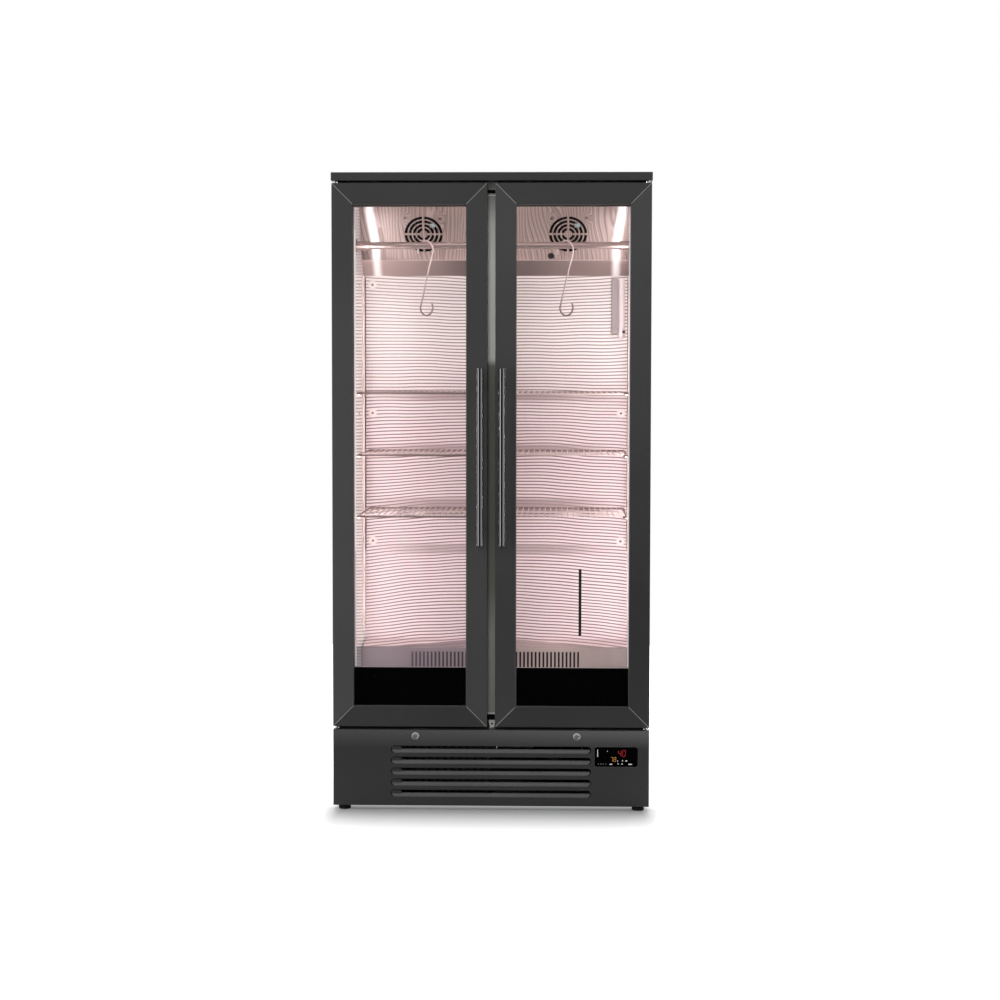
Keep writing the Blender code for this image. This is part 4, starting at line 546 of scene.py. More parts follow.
foot_rubber = surface("black_foot_rubber", (0.008, 0.008, 0.008), (0.003, 0.003, 0.003), 500.0,
                      rough=(0.5, 0.7), bump=0.08)
shade(foot_rubber, {"Specular IOR Level": 0.15})
for word in ("front_left", "front_right", "rear_left", "rear_right"):
    low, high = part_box("foot_" + word)
    middle = ((low[0] + high[0]) / 2, (low[1] + high[1]) / 2, low[2])
    radius = (high[0] - low[0]) / 2
    disc = turned("levelling_foot_" + word, "z", middle, [
        (radius - FOOT_COVE, 0.0), (radius - 0.0012, 0.0008), (radius, 0.0024),
        (radius, NUT_LOW - 0.0030), (radius - 0.0010, NUT_LOW - 0.0010),
        (radius - 0.0030, NUT_LOW), (NUT_RADIUS - 0.0010, NUT_LOW)], sides=40, angle=40.0)
    stud = turned("foot_stud_" + word, "z", middle, [
        (NUT_RADIUS - 0.0008, NUT_LOW), (NUT_RADIUS, NUT_LOW + 0.0006),
        (NUT_RADIUS, NUT_HIGH - 0.0005), (NUT_RADIUS - 0.0008, NUT_HIGH),
        (STUD_RADIUS, NUT_HIGH), (STUD_RADIUS, high[2] - 0.001),
        (STUD_RADIUS - 0.0008, high[2])], sides=6)
    dress(disc, foot_rubber, stands_for=("foot_" + word,))
    dress(stud, screw_steel)


# Insulation: polyurethane foam between the casing and the liner, seen only if a panel is off.
foam = surface("cream_foam", (0.78, 0.70, 0.46), (0.66, 0.58, 0.36), 260.0, rough=(0.85, 0.98),
               bump=0.5, patch=9.0)
wear("insulation", foam)


# Liner: polished stainless sheet folded into a tub and riveted at the back corners. Its colour
# is painted light: the pink light of the strips as fine level reflection lines that bow a little,
# and plain mauve bands across it, painted shade under the shelves, and the plain sheet joint.
LINE_PITCH = 0.0096
LINE_BOWS = ((0.42, 0.190), (0.70, 0.140), (1.05, 0.100), (1.25, 0.0), (1.45, -0.090))
LINER_LINE_LIGHT = ((0.935, 0.787, 0.797), (0.930, 0.850, 0.835))    # painted reflection lines, low down and high up
LINER_BETWEEN_LINES = ((0.246, 0.169, 0.174), (0.330, 0.285, 0.270))   # and the sheet between them, darker low down as painted shade
LINER_RISE = (1.05, 1.35)    # heights between which low turns into high
LINER_BAND_SHADE = (0.430, 0.315, 0.320)
LINER_FOOT_SHADE = ((0.280, 0.228, 0.250), (0.430, 0.355, 0.335))    # painted shade on the plain foot, left and right
# darker painted shade towards the sides of the foot
LINER_FOOT_OUTER_SHADE = ((0.165, 0.134, 0.150), (0.225, 0.185, 0.172))
LINER_SIDE_LINE_LIGHT = (0.985, 0.945, 0.930)   # painted reflection lines on the side walls, that face the light less
LINER_SIDE_BETWEEN_LINES = (0.560, 0.480, 0.460)
LINER_SIDE_PAINTED_GLOW = 0.24       # painted glow of the strip beside them on the side walls
# painted shade on the walls above the cooler's fold
LINER_TOP_SHADE = (0.640, 0.560, 0.560)
LINER_SHADE_BANDS = (              # heights and how far the painted shade bands, and the plain joint, show there
    (0.685, 0.0), (0.694, 0.70), (0.714, 0.70), (0.722, 0.0), (0.810, 0.0), (0.820, 0.85),
    (0.852, 0.75), (0.864, 0.0), (0.990, 0.0), (0.998, 0.85), (1.018, 0.75), (1.028, 0.0),
    (1.154, 0.0), (1.160, 0.75), (1.176, 0.65), (1.184, 0.0))
FOOT_EDGE = 0.427            # top of the painted shade at the foot of the wall, in the middle
FOOT_DROP = 0.025            # how much lower it lies towards the sides
LINE_EYE = 1.239             # eye height, at which the painted reflection lines run level on the side walls
LINE_SPREAD = 6.615          # the lines fan out from it towards the doors at this rate
BACK_WALL = 0.2575
RIVET_RADIUS = 0.0036
RIVET_ROWS = (1.555, 1.507, 1.118, 0.728)
RIVET_X = 0.378
SIDE_RIVET_ROWS = (1.502, 1.118, 0.728)
SIDE_WALL = 0.4049
JOINT_HEIGHTS = (0.6945, 0.7150)
SLOT_X = 0.2556
SLOT_HEIGHTS = (0.4365, 0.6425)


def height_ramp(height, stops, low, span):
    """A colour ramp over a range of heights."""
    share = maths("DIVIDE", maths("SUBTRACT", height, low), span)
    return ramp(share, [(min(max((at - low) / span, 0.0), 1.0), colour) for at, colour in stops])


def waves(value, pitch):
    """A wave between 0 and 1 that repeats at a pitch along a value."""
    turns = maths("MULTIPLY", value, 2.0 * math.pi / pitch)
    return maths("MULTIPLY_ADD", maths("SINE", turns), 0.5, 0.5)


def nearest(x, z, points):
    """The distance to the nearest of some points."""
    least = None
    for point_x, point_z in points:
        aside = maths("SUBTRACT", x, point_x)
        over = maths("SUBTRACT", z, point_z)
        away = maths("SQRT", maths("ADD", maths("MULTIPLY", aside, aside),
                                   maths("MULTIPLY", over, over)))
        least = maths("MINIMUM", least, away) if least else away
    return least


def rivet(axis, place, way):
    """A low rivet head; way is the side of the axis that it looks to."""
    return turned("rivet", axis, place, [
        (RIVET_RADIUS, 0.0), (RIVET_RADIUS * 0.9, way * 0.0007),
        (RIVET_RADIUS * 0.6, way * 0.0013), (RIVET_RADIUS * 0.25, way * 0.0015)],
        sides=16, angle=60.0)


def slab(name, low, high, width=0.0003, segments=1):
    """A box with softened edges."""
    return softened(block(name, low, high), width, segments)


# All colour on the liner is painted light: reflection lines of the strips, a glint round each
# rivet, shade bands under the shelves, shade at the foot and above the cooler, and a glow on the
# side walls.
painted_light_liner, place = new_material("stainless_liner_painted_light")
x, y, z = axes(place)
off_middle = maths("ABSOLUTE", x)
fanned = maths("DIVIDE", LINE_SPREAD, maths("ADD", y, LINE_SPREAD - BACK_WALL))
height = maths("MULTIPLY_ADD", maths("SUBTRACT", z, LINE_EYE), fanned, LINE_EYE)
bend = height_ramp(height, [(at, ((bow + 0.2) / 0.5,) * 3) for at, bow in LINE_BOWS], 0.42, 1.03)
bend = maths("MULTIPLY_ADD", bend, 0.5, -0.2)
wander = maths("MULTIPLY", noise(place, 4.5, 1.0, (1.0, 0.12, 1.0)), 0.018)
lifted = maths("ADD", maths("ADD", height, wander),
               maths("MULTIPLY", maths("MULTIPLY", x, x), bend))
crest = waves(lifted, LINE_PITCH)
# A painted glint round each rivet.
rivet_glint = ranged(nearest(off_middle, height, [(RIVET_X, row) for row in RIVET_ROWS]),
              0.010, 0.016, 1.0, 0.0)
reflection_part = maths("MAXIMUM", ranged(crest, 0.10, 0.50, smooth=True), rivet_glint)
rising = ranged(height, *LINER_RISE)
on_side = ranged(off_middle, 0.4040, 0.4045)
lines = mixed(reflection_part, mixed(on_side, mixed(rising, *LINER_BETWEEN_LINES), LINER_SIDE_BETWEEN_LINES),
              mixed(on_side, mixed(rising, *LINER_LINE_LIGHT), LINER_SIDE_LINE_LIGHT))
# Painted shade bands under the shelves, and the plain joint.
cover = height_ramp(height, [(at, (part,) * 3) for at, part in LINER_SHADE_BANDS], 0.685, 0.499)
inward = maths("SUBTRACT", 1.0, ranged(off_middle, 0.20, 0.375))
banded = mixed(maths("MULTIPLY", cover, inward), lines, LINER_BAND_SHADE)
drop = ranged(off_middle, 0.0, 0.36, smooth=True)
foot_level = maths("MULTIPLY_ADD", drop, FOOT_DROP, height)
rightward = ranged(x, -0.12, 0.12)
# Painted shade at the foot, darker on the left and towards the sides.
foot_shade = mixed(ranged(off_middle, 0.20, 0.34), mixed(rightward, *LINER_FOOT_SHADE),
                  mixed(rightward, *LINER_FOOT_OUTER_SHADE))
skin = mixed(ranged(foot_level, FOOT_EDGE, FOOT_EDGE + 0.002), foot_shade, banded)
# Painted glow of the strips on the side walls.
painted_side_glow = maths("MULTIPLY", maths("MULTIPLY", on_side, reflection_part), LINER_SIDE_PAINTED_GLOW)
shade(painted_light_liner, {
    "Metallic": 0.15, "Base Color": mixed(ranged(height, 1.535, 1.537), skin, LINER_TOP_SHADE),
    "Emission Color": (1.0, 0.93, 0.92), "Emission Strength": painted_side_glow,
    "Roughness": ranged(crest, 0.0, 1.0, 0.32, 0.5), "Normal": relief(crest, 0.15, 0.0005)})
wear("liner", painted_light_liner)

rivets = repeated(rivet("y", (0.0, BACK_WALL - 0.0001, 0.0), -1), "rivet", [
    (side * RIVET_X, 0.0, row) for row in RIVET_ROWS for side in (-1, 1)])
rivets += [rivet("x", (side * SIDE_WALL, 0.106, row), -side)
           for side in (-1, 1) for row in SIDE_RIVET_ROWS]
rivet_steel = surface("pink_lit_rivet_steel", (0.26, 0.19, 0.18), (0.17, 0.12, 0.115), 900.0,
                      rough=(0.25, 0.35), metallic=0.6, bump=0.02)
dress(joined("liner_rivets", rivets), rivet_steel)
joint = slab("liner_joint_strip", (-0.4045, BACK_WALL - 0.0009, JOINT_HEIGHTS[0]),
             (0.4045, BACK_WALL - 0.0002, JOINT_HEIGHTS[1]))
dress(joint, painted_light_liner)
# A black block in the air slot's depth paints the shade inside the slot.
duct = slab("air_slot_shade_block", (SLOT_X - 0.0044, BACK_WALL + 0.0014, SLOT_HEIGHTS[0]),
            (SLOT_X + 0.0044, BACK_WALL + 0.0116, SLOT_HEIGHTS[1]), 0.0004)
slot_shade_black = surface("black_slot_shade", (0.006, 0.005, 0.005), (0.002, 0.002, 0.002), 300.0,
                     rough=(0.85, 0.95), bump=0.2)
dress(duct, slot_shade_black)


# Air cooler: a cover of thin stainless sheet leans out under the ceiling. Its two fan grilles are
# punched into it as four rings of slots, and it is screwed through the face beside them.
COOLER_LEAN = math.radians(27.0)
COOLER_SHEET = 0.0012
COVER_HALF = 0.4040
COOLER_FACE = 0.1575         # face of the cover at the height of the fans' middles
BEND_Z = 1.5783              # where the face folds back to the wall
FAN_X = 0.2157
FAN_Z = 1.6535
RING_RADII = (0.0122, 0.0242, 0.0363, 0.0486)
RING_SLOT = 0.0082
RING_RIB = 0.0032
PROBE_X = 0.1646
PROBE_DROP = 0.0703
PROBE_RADIUS = 0.0080
COVER_SCREWS = ((-0.2694, 0.0525), (-0.1660, 0.0495), (0.2694, 0.0525), (0.1660, 0.0495))
STREAK_PITCHES = (0.0118, 0.0052)
# Pale and dark streaks at the middle, the left and the right; the middle is much lighter than the
# ends, as painted light.
LIGHT_STREAKS = ((0.86, 0.690, 0.640), (0.385, 0.300, 0.282), (0.505, 0.400, 0.376))
DARK_STREAKS = ((0.380, 0.295, 0.268), (0.155, 0.116, 0.110), (0.20, 0.150, 0.142))
# Painted shade on the underside below the bend, at the middle, the left and the right.
FOLD_SHADES = ((0.215, 0.175, 0.165), (0.60, 0.475, 0.450), (0.43, 0.336, 0.322))
# Painted highlight along the fold.
CREASE_HIGHLIGHT = (0.61, 0.485, 0.465)
# Painted reflection of each light strip near the cover's ends, pale and glowing.
STRIP_REFLECTION_TONE = (0.96, 0.93, 0.92)
STRIP_REFLECTION_GLOW = 0.34
SIDES = (("left", -1), ("right", 1))

low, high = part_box("evaporator_cover")
shell = block("cooler_cover", (-COVER_HALF, low[1], low[2]), (COVER_HALF, high[1], high[2]))
bend_y = COOLER_FACE + (FAN_Z - BEND_Z) * math.tan(COOLER_LEAN)
trims = (((0.0, COOLER_FACE, FAN_Z), (0.0, math.cos(COOLER_LEAN), math.sin(COOLER_LEAN))),
         ((0.0, bend_y, BEND_Z), (0.0, BEND_Z - low[2], high[1] - bend_y)))
for point, push in trims:
    pick(shell, "FACE", lambda face: True)
    bpy.ops.mesh.bisect(plane_co=point, plane_no=push, clear_inner=True, use_fill=True)
    bpy.ops.object.mode_set(mode="OBJECT")
pick(shell, "FACE", lambda face: face.normal.y > 0.9 or face.normal.z > 0.9)
bpy.ops.mesh.delete(type="FACE")
bpy.ops.object.mode_set(mode="OBJECT")
modified(shell, "SOLIDIFY", thickness=COOLER_SHEET, offset=-1.0, use_even_offset=True)


def moved(thing, place):
    """Turn and shift a piece by a matrix, and bake that into its mesh."""
    thing.matrix_world = place
    take(thing)
    return named(thing.name)


def leaned(thing):
    """Turn a piece that was made upright at the fans' height into the lean of the cover."""
    pivot = Vector((0.0, COOLER_FACE, FAN_Z))
    return moved(thing, Matrix.Translation(pivot) @ Matrix.Rotation(COOLER_LEAN, 4, "X")
                 @ Matrix.Translation(-pivot))


tools = []
for inner in RING_RADII:
    middle = inner + RING_SLOT / 2
    gap = math.asin(RING_RIB / middle)
    arc = block("slot", (middle - RING_SLOT / 2, -0.005, -0.00001),
                (middle + RING_SLOT / 2, 0.005, 0.00001))
    pick(arc, "FACE", lambda face: face.normal.z > 0.9)
    bpy.ops.mesh.spin(steps=14, angle=math.pi / 2 - 2 * gap, center=(0, 0, 0), axis=(0, 1, 0))
    close_up(merge=0.00005)
    tools += repeated(arc, "slot", [
        Matrix.Translation((side * FAN_X, COOLER_FACE, FAN_Z))
        @ Matrix.Rotation(-gap - quarter * math.pi / 2, 4, "Y")
        for quarter in range(4) for side in (-1, 1)])
tools.append(turned("slot", "y", (PROBE_X, COOLER_FACE, FAN_Z - PROBE_DROP),
                    [(PROBE_RADIUS, -0.005), (PROBE_RADIUS, 0.005)], sides=24))
carved(shell, [leaned(joined("slots", tools))])
softened(shell, 0.00025, 1)

# The cover's colour carries painted light: a lighter middle, a shaded underside, a highlight on the
# fold and the strips' reflection near each end.
cover_painted_light, place = new_material("stainless_cover_painted_light")
x, y, z = axes(place)
off_middle = maths("ABSOLUTE", x)
drift = noise(place, 7.0, 2.0, (1.0, 0.30, 0.20))
swirl = nearest(x, z, [(at, FAN_Z + 0.045) for at in sorted(at for at, up in COVER_SCREWS)])
ring = maths("SUBTRACT", 1.0, ranged(swirl, 0.004, 0.022, smooth=True))
pattern = maths("MULTIPLY_ADD", ring, 0.020, maths("MULTIPLY_ADD", drift, 0.17, x))
wide, narrow = (waves(pattern, pitch) for pitch in STREAK_PITCHES)
streak = maths("MULTIPLY_ADD", narrow, 0.45, maths("MULTIPLY", wide, 0.55))
inner = ranged(off_middle, 0.10, 0.36)
rightward = ranged(x, -0.1, 0.1)
light_streak, dark_streak, fold_shade = (
    mixed(inner, at_middle, mixed(rightward, at_left, at_right))
    for at_middle, at_left, at_right in (LIGHT_STREAKS, DARK_STREAKS, FOLD_SHADES))
above_bend = ranged(z, BEND_Z - 0.001, BEND_Z + 0.001)
sheet_tone = mixed(above_bend, fold_shade, mixed(streak, light_streak, dark_streak))
crease_highlight = ranged(maths("ABSOLUTE", maths("SUBTRACT", z, BEND_Z)), 0.0008, 0.0022)
sheet_tone = mixed(crease_highlight, CREASE_HIGHLIGHT, sheet_tone)
strip_reflection_x = maths("MULTIPLY_ADD", ranged(z, 1.62, 1.72), 0.016, 0.360)
strip_reflection = maths("ABSOLUTE", maths("SUBTRACT", off_middle, strip_reflection_x))
strip_reflection = maths("SUBTRACT", 1.0, ranged(strip_reflection, 0.002, 0.019, smooth=True))
duller = maths("MULTIPLY_ADD", above_bend, -0.24, 0.24)
shade(cover_painted_light, {
    "Metallic": 0.5, "Base Color": mixed(strip_reflection, sheet_tone, STRIP_REFLECTION_TONE),
    "Emission Color": (1.0, 0.95, 0.94), "Emission Strength": maths("MULTIPLY", strip_reflection, STRIP_REFLECTION_GLOW),
    "Roughness": maths("ADD", ranged(drift, 0.0, 1.0, 0.24, 0.32), duller),
    "Normal": relief(wide, 0.10)})
dress(shell, cover_painted_light, stands_for=("evaporator_cover",))

cover_screws = [
    leaned(screw("cover_screw", (at, COOLER_FACE - 0.0002, FAN_Z + up), "y", radius=0.0040))
    for at, up in COVER_SCREWS]
dress(joined("cooler_cover_screws", cover_screws), rivet_steel)
grommet = turned("probe_grommet", "y", (PROBE_X, COOLER_FACE, FAN_Z - PROBE_DROP), [
    (0.0098, 0.0), (0.0098, -0.0012), (0.0088, -0.0020), (0.0060, -0.0020), (0.0052, -0.0010),
    (0.0052, 0.0030)], sides=24)
black_plastic = surface("black_moulded_plastic", (0.018, 0.018, 0.018), (0.009, 0.009, 0.009),
                        420.0, rough=(0.3, 0.45), bump=0.06)
dress(leaned(grommet), black_plastic)
coil_metal = surface("black_coated_cooler_fins", (0.020, 0.020, 0.021), (0.008, 0.008, 0.008),
                     300.0, rough=(0.3, 0.45), metallic=0.9, bump=0.05, stretch=(6.0, 1.0, 0.2))
wear("evaporator_coil", coil_metal)
fan_black = surface("matt_black_fan_plastic", (0.0045, 0.0040, 0.0050), (0.0025, 0.0022, 0.0028),
                    420.0, rough=(0.7, 0.85), bump=0.06)
shade(fan_black, {"Specular IOR Level": 0.12})
for word, side in SIDES:
    wear("evaporator_fan_motor_" + word, fan_black)
    wear("evaporator_fan_" + word, fan_black)
wear("condenser_fan_shroud", black_plastic)
wear("condenser_fan", black_plastic)
# A pale blue patch behind each grille, seen through the slots, is a painted glint on the fan.
fan_glint_paint = surface("pale_blue_fan_glint", (0.55, 0.80, 0.82), (0.30, 0.52, 0.56), 160.0,
                        rough=(0.08, 0.16), bump=0.05)
for word, side in SIDES:
    glint_patch = slab("fan_glint_patch_" + word,
                    (side * FAN_X + 0.0190, COOLER_FACE + 0.0014, FAN_Z + 0.0210),
                    (side * FAN_X + 0.0345, COOLER_FACE + 0.0026, FAN_Z + 0.0330), 0.0005, 2)
    dress(leaned(glint_patch), fan_glint_paint)


# Hanging rail: polished stainless tube with a turned collar and wall flange on each end.
RAIL_Y = 0.0225
RAIL_Z = 1.612
RAIL_RADIUS = 0.0103
COLLAR_RADIUS = 0.0130
COLLAR_LENGTH = 0.040
FLANGE_RADIUS = 0.019
RAIL_END = 0.4047

# The pink cast of this steel is painted light from the strips.
polished = surface("polished_stainless", (0.50, 0.40, 0.375), (0.37, 0.285, 0.27), 700.0,
                   rough=(0.20, 0.30), metallic=0.6, bump=0.015, stretch=(0.05, 1.0, 1.0))
half = [(FLANGE_RADIUS - 0.0006, 0.0), (FLANGE_RADIUS, 0.0006), (FLANGE_RADIUS, 0.0024),
        (FLANGE_RADIUS - 0.0006, 0.0030), (COLLAR_RADIUS, 0.0030),
        (COLLAR_RADIUS, COLLAR_LENGTH - 0.0012), (COLLAR_RADIUS - 0.0012, COLLAR_LENGTH),
        (RAIL_RADIUS, COLLAR_LENGTH)]
profile = [(radius, along - RAIL_END) for radius, along in half]
profile += [(radius, RAIL_END - along) for radius, along in reversed(half)]
rail = turned("meat_rail", "x", (0.0, RAIL_Y, RAIL_Z), profile, sides=40)
dress(rail, polished, stands_for=("hanging_rail",))


# Meat hooks: stainless wire bent to an S. The large bend hangs on the rail, and the small one
# ends in a ground point. Each hangs turned about the upright, and swings along the rail.
HOOK_WIRE = 0.0025
HOOK_TOP_RADIUS = 0.029
HOOK_LOW_RADIUS = 0.0235
HOOK_LENGTH = 0.2180
HOOK_TURN = math.radians(53.0)
HOOK_TIP = math.radians(20.0)
HOOK_SWAY = 0.004
HOOK_TOP = RAIL_RADIUS + HOOK_WIRE + 0.0009
HOOK_PLACES = (("left", -0.2018), ("right", 0.2075))
HOOK_POINT = ((0.0030, 0.75), (0.0030, 0.55), (0.0020, 0.50))    # steps of the ground point

upper_z = HOOK_TOP - HOOK_TOP_RADIUS
lower_z = HOOK_TOP - HOOK_LENGTH + HOOK_LOW_RADIUS
tip_angle = math.pi + HOOK_TIP
let_go()
bpy.ops.mesh.primitive_circle_add(
    vertices=12, radius=HOOK_WIRE, fill_type="NGON", rotation=(0.0, -tip_angle, 0.0),
    location=(HOOK_TOP_RADIUS * math.cos(tip_angle), 0.0,
              upper_z + HOOK_TOP_RADIUS * math.sin(tip_angle)))
wire = named("hook")
open_all()
bpy.ops.mesh.spin(steps=28, angle=tip_angle, center=(0.0, 0.0, upper_z), axis=(0.0, -1.0, 0.0))
run = (HOOK_SWAY - HOOK_LOW_RADIUS - HOOK_TOP_RADIUS, 0.0, lower_z - upper_z)
for _ in range(3):
    draw_out([part / 3.0 for part in run])
bpy.ops.mesh.spin(steps=22, angle=tip_angle, center=(HOOK_SWAY, 0.0, lower_z),
                  axis=(0.0, 1.0, 0.0))
tip_way = Vector((-math.sin(HOOK_TIP), 0.0, math.cos(HOOK_TIP)))
tip_at = Vector((HOOK_SWAY + HOOK_LOW_RADIUS * math.cos(HOOK_TIP), 0.0,
                 lower_z + HOOK_LOW_RADIUS * math.sin(HOOK_TIP)))
for reach, narrower in HOOK_POINT:
    tip_at += tip_way * reach
    draw_out(tip_way * reach)
    bpy.ops.transform.resize(value=(narrower,) * 3, center_override=tip_at)
bpy.ops.object.mode_set(mode="OBJECT")
pick(wire, "FACE", lambda face: True)
bpy.ops.mesh.normals_make_consistent(inside=False)
bpy.ops.object.mode_set(mode="OBJECT")
modified(wire, "BEVEL", width=0.0012, segments=3, limit_method="ANGLE",
         angle_limit=math.radians(60))
smoothed(wire, 50)


def painted_light_rise(material, from_z, to_z, low_light, high_light, right_light=None):
    """Paint light and shade on a material: one tint low down, another higher up, which may turn
    into a third towards the right."""
    x, y, z = axes(place_on(material))
    if right_light:
        high_light = mixed(ranged(x, -0.40, 0.40), high_light, right_light)
    tinted(material, mixed(ranged(z, from_z, to_z), low_light, high_light))


hook_steel = surface("pink_lit_hook_steel", (0.88, 0.74, 0.71), (0.70, 0.57, 0.55), 600.0,
                     rough=(0.16, 0.28), metallic=0.35, bump=0.02)
# Painted shade: each hook is darker on its lower part.
painted_light_rise(hook_steel, 1.40, 1.58, (0.30, 0.27, 0.27), (1.0, 1.0, 1.0))
for word, at in HOOK_PLACES:
    hook = copied(wire, "s_hook_" + word, Matrix.Translation((at, RAIL_Y, RAIL_Z))
                  @ Matrix.Rotation(HOOK_TURN - math.pi / 2, 4, "Z"))
    dress(hook, hook_steel, body=word + "_hook", stands_for=("meat_hook_" + word,))
bpy.data.objects.remove(wire, do_unlink=True)


# Shelf uprights: slotted stainless channels on the side walls, with a smooth lip down the middle
# of each. The rear ones lie in the brown shade of the channel.
LIP_X = (0.3948, 0.3972)
LIP_HALF = 0.0074
LIP_HEIGHTS = (0.7060, 1.5270)

# The pink cast of this steel is painted light from the strips.
upright_steel = surface("brushed_upright_steel", (0.68, 0.565, 0.55), (0.52, 0.415, 0.405), 500.0,
                        rough=(0.22, 0.36), metallic=0.5, bump=0.03, stretch=(1.0, 1.0, 0.04))
channel_dark = surface("brown_channel_shade", (0.14, 0.095, 0.080), (0.085, 0.058, 0.050), 400.0,
                       rough=(0.4, 0.55), metallic=0.2, bump=0.05)
for word, side in SIDES:
    ends = sorted(side * at for at in LIP_X)
    for end_word, middle, metal in (("front", -0.1425, upright_steel),
                                    ("rear", 0.2105, channel_dark)):
        wear("shelf_upright_%s_%s" % (end_word, word), upright_steel)
        lip = slab("upright_lip_%s_%s" % (end_word, word),
                   (ends[0], middle - LIP_HALF, LIP_HEIGHTS[0]),
                   (ends[1], middle + LIP_HALF, LIP_HEIGHTS[1]), 0.0004)
        dress(lip, metal)


# Shelves: a rod frame with round corners, thin wires from front to back on it, and two rods
# across underneath. All welded and chromed; each lifts off its clips.
ROD_RADIUS = 0.0030
CROSS_RADIUS = 0.0022
WIRE_RADIUS = 0.0015
SHELF_CORNER = 0.012
WIRE_PITCH = 0.0166

# Both finishes carry a painted pink cast from the strips; the rim is painted darker, as shade on
# the rod.
chrome_wire = surface("chromed_shelf_wire", (0.78, 0.66, 0.65), (0.62, 0.50, 0.49), 700.0,
                      rough=(0.34, 0.46), metallic=0.2, bump=0.02)
shaded_shelf_rod = surface("chromed_shelf_rod_painted_shade", (0.34, 0.245, 0.235), (0.25, 0.180, 0.170), 700.0,
                     rough=(0.34, 0.46), metallic=0.2, bump=0.02)
for word in ("upper", "middle", "lower"):
    low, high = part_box("shelf_" + word)
    level_z = high[2] - ROD_RADIUS
    edge_x = high[0] - ROD_RADIUS
    near, far = low[1] + ROD_RADIUS, high[1] - ROD_RADIUS
    let_go()
    bpy.ops.mesh.primitive_circle_add(
        vertices=12, radius=ROD_RADIUS, fill_type="NOTHING", location=(0.0, near, level_z),
        rotation=(0.0, math.pi / 2, 0.0))
    rim = named("shelf_rim_" + word)
    open_all()
    bend_x, bend_near, bend_far = edge_x - SHELF_CORNER, near + SHELF_CORNER, far - SHELF_CORNER
    corners = (((bend_x, bend_near), (bend_x, 0.0)),
               ((bend_x, bend_far), (0.0, bend_far - bend_near)),
               ((-bend_x, bend_far), (-2 * bend_x, 0.0)),
               ((-bend_x, bend_near), (0.0, bend_near - bend_far)))
    for (turn_x, turn_y), (run_x, run_y) in corners:
        draw_out((run_x, run_y, 0.0))
        bpy.ops.mesh.spin(steps=6, angle=math.pi / 2, center=(turn_x, turn_y, level_z),
                          axis=(0.0, 0.0, -1.0))
    draw_out((bend_x, 0.0, 0.0))
    close_up(merge=0.0001)
    dress(smoothed(rim, 60), shaded_shelf_rod, body=word + "_shelf")
    wire_z = high[2] - WIRE_RADIUS - 0.0003
    first = turned("wire", "y", (0.0, 0.0, wire_z), [
        (WIRE_RADIUS, near), (WIRE_RADIUS, far)], sides=8, angle=60.0)
    count = int((high[0] - low[0] - 2 * ROD_RADIUS) / WIRE_PITCH) - 1
    rods = repeated(first, "wire", [((i - (count - 1) / 2) * WIRE_PITCH, 0.0, 0.0)
                                    for i in range(count)])
    for part in (1 / 3, 2 / 3):
        under = (0.0, near + part * (far - near), wire_z - WIRE_RADIUS - CROSS_RADIUS)
        rods.append(turned("rod", "x", under, [(CROSS_RADIUS, -edge_x), (CROSS_RADIUS, edge_x)],
                           sides=12, angle=60.0))
    grid = smoothed(joined("wire_shelf_" + word, rods), 60)
    dress(grid, chrome_wire, body=word + "_shelf", stands_for=("shelf_" + word,))


# Light strips: an aluminium channel up each front corner with a ribbed clear lens over a row of
# pink-white diodes.
LED_PITCH = 0.0083
LED_COLOUR = (0.82, 0.74, 0.75)
LED_BETWEEN = (0.74, 0.66, 0.67)
LENS_DEPTH = 0.0040
LENS_ROUND = 0.0036


def rounded(thing, offset, segments, test):
    """Round off the edges of a piece that pass a test."""
    pick(thing, "EDGE", test)
    bpy.ops.mesh.bevel(offset=offset, segments=segments, affect="EDGES")
    bpy.ops.object.mode_set(mode="OBJECT")
    return thing


# The pink cast of the channel is painted light from the strips.
channel_metal = surface("light_channel_aluminium", (0.46, 0.36, 0.37), (0.34, 0.26, 0.27), 400.0,
                        rough=(0.3, 0.42), metallic=0.5, bump=0.03, stretch=(1.0, 1.0, 0.05))
diodes, place = new_material("lit_strip_lens")
beat = waves(axes(place)["Z"], LED_PITCH)
tone = mixed(beat, LED_BETWEEN, LED_COLOUR)
shade(diodes, {"Roughness": 0.3, "Base Color": tone, "Emission Color": tone,
               "Emission Strength": ranged(beat, 0.0, 1.0, 0.18, 0.28)})
for word, side in SIDES:
    low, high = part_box("led_strip_" + word)
    face, wall = sorted((abs(low[0]), abs(high[0])))
    ends = sorted((side * wall, side * (face + LENS_DEPTH + 0.0005)))
    channel = slab("light_channel_" + word, (ends[0], low[1], low[2]),
                   (ends[1], high[1], high[2]), 0.0008, 2)
    dress(channel, channel_metal, stands_for=("led_strip_" + word,))
    ends = sorted((side * (face + LENS_DEPTH), side * face))
    lens_piece = block("light_lens_" + word, (ends[0], low[1] + 0.0020, low[2] + 0.004),
                       (ends[1], high[1] - 0.0020, high[2] - 0.004))
    rounded(lens_piece, LENS_ROUND, 6,
            lambda edge: abs(edge.verts[0].co.z - edge.verts[1].co.z) > 0.5
            and abs(abs(edge.verts[0].co.x) - face) < 0.0001)
    dress(smoothed(lens_piece, 50), diodes)


# Germ lamp: a grey plastic holder under the cooler, and the tube beside it in its round cover
# with a small black grommet at its foot.
LAMP_SPLIT = 0.3668
HOLDER_FOOT = 1.360
TUBE_RADIUS = 0.0108
GROMMET_RADIUS = 0.0044

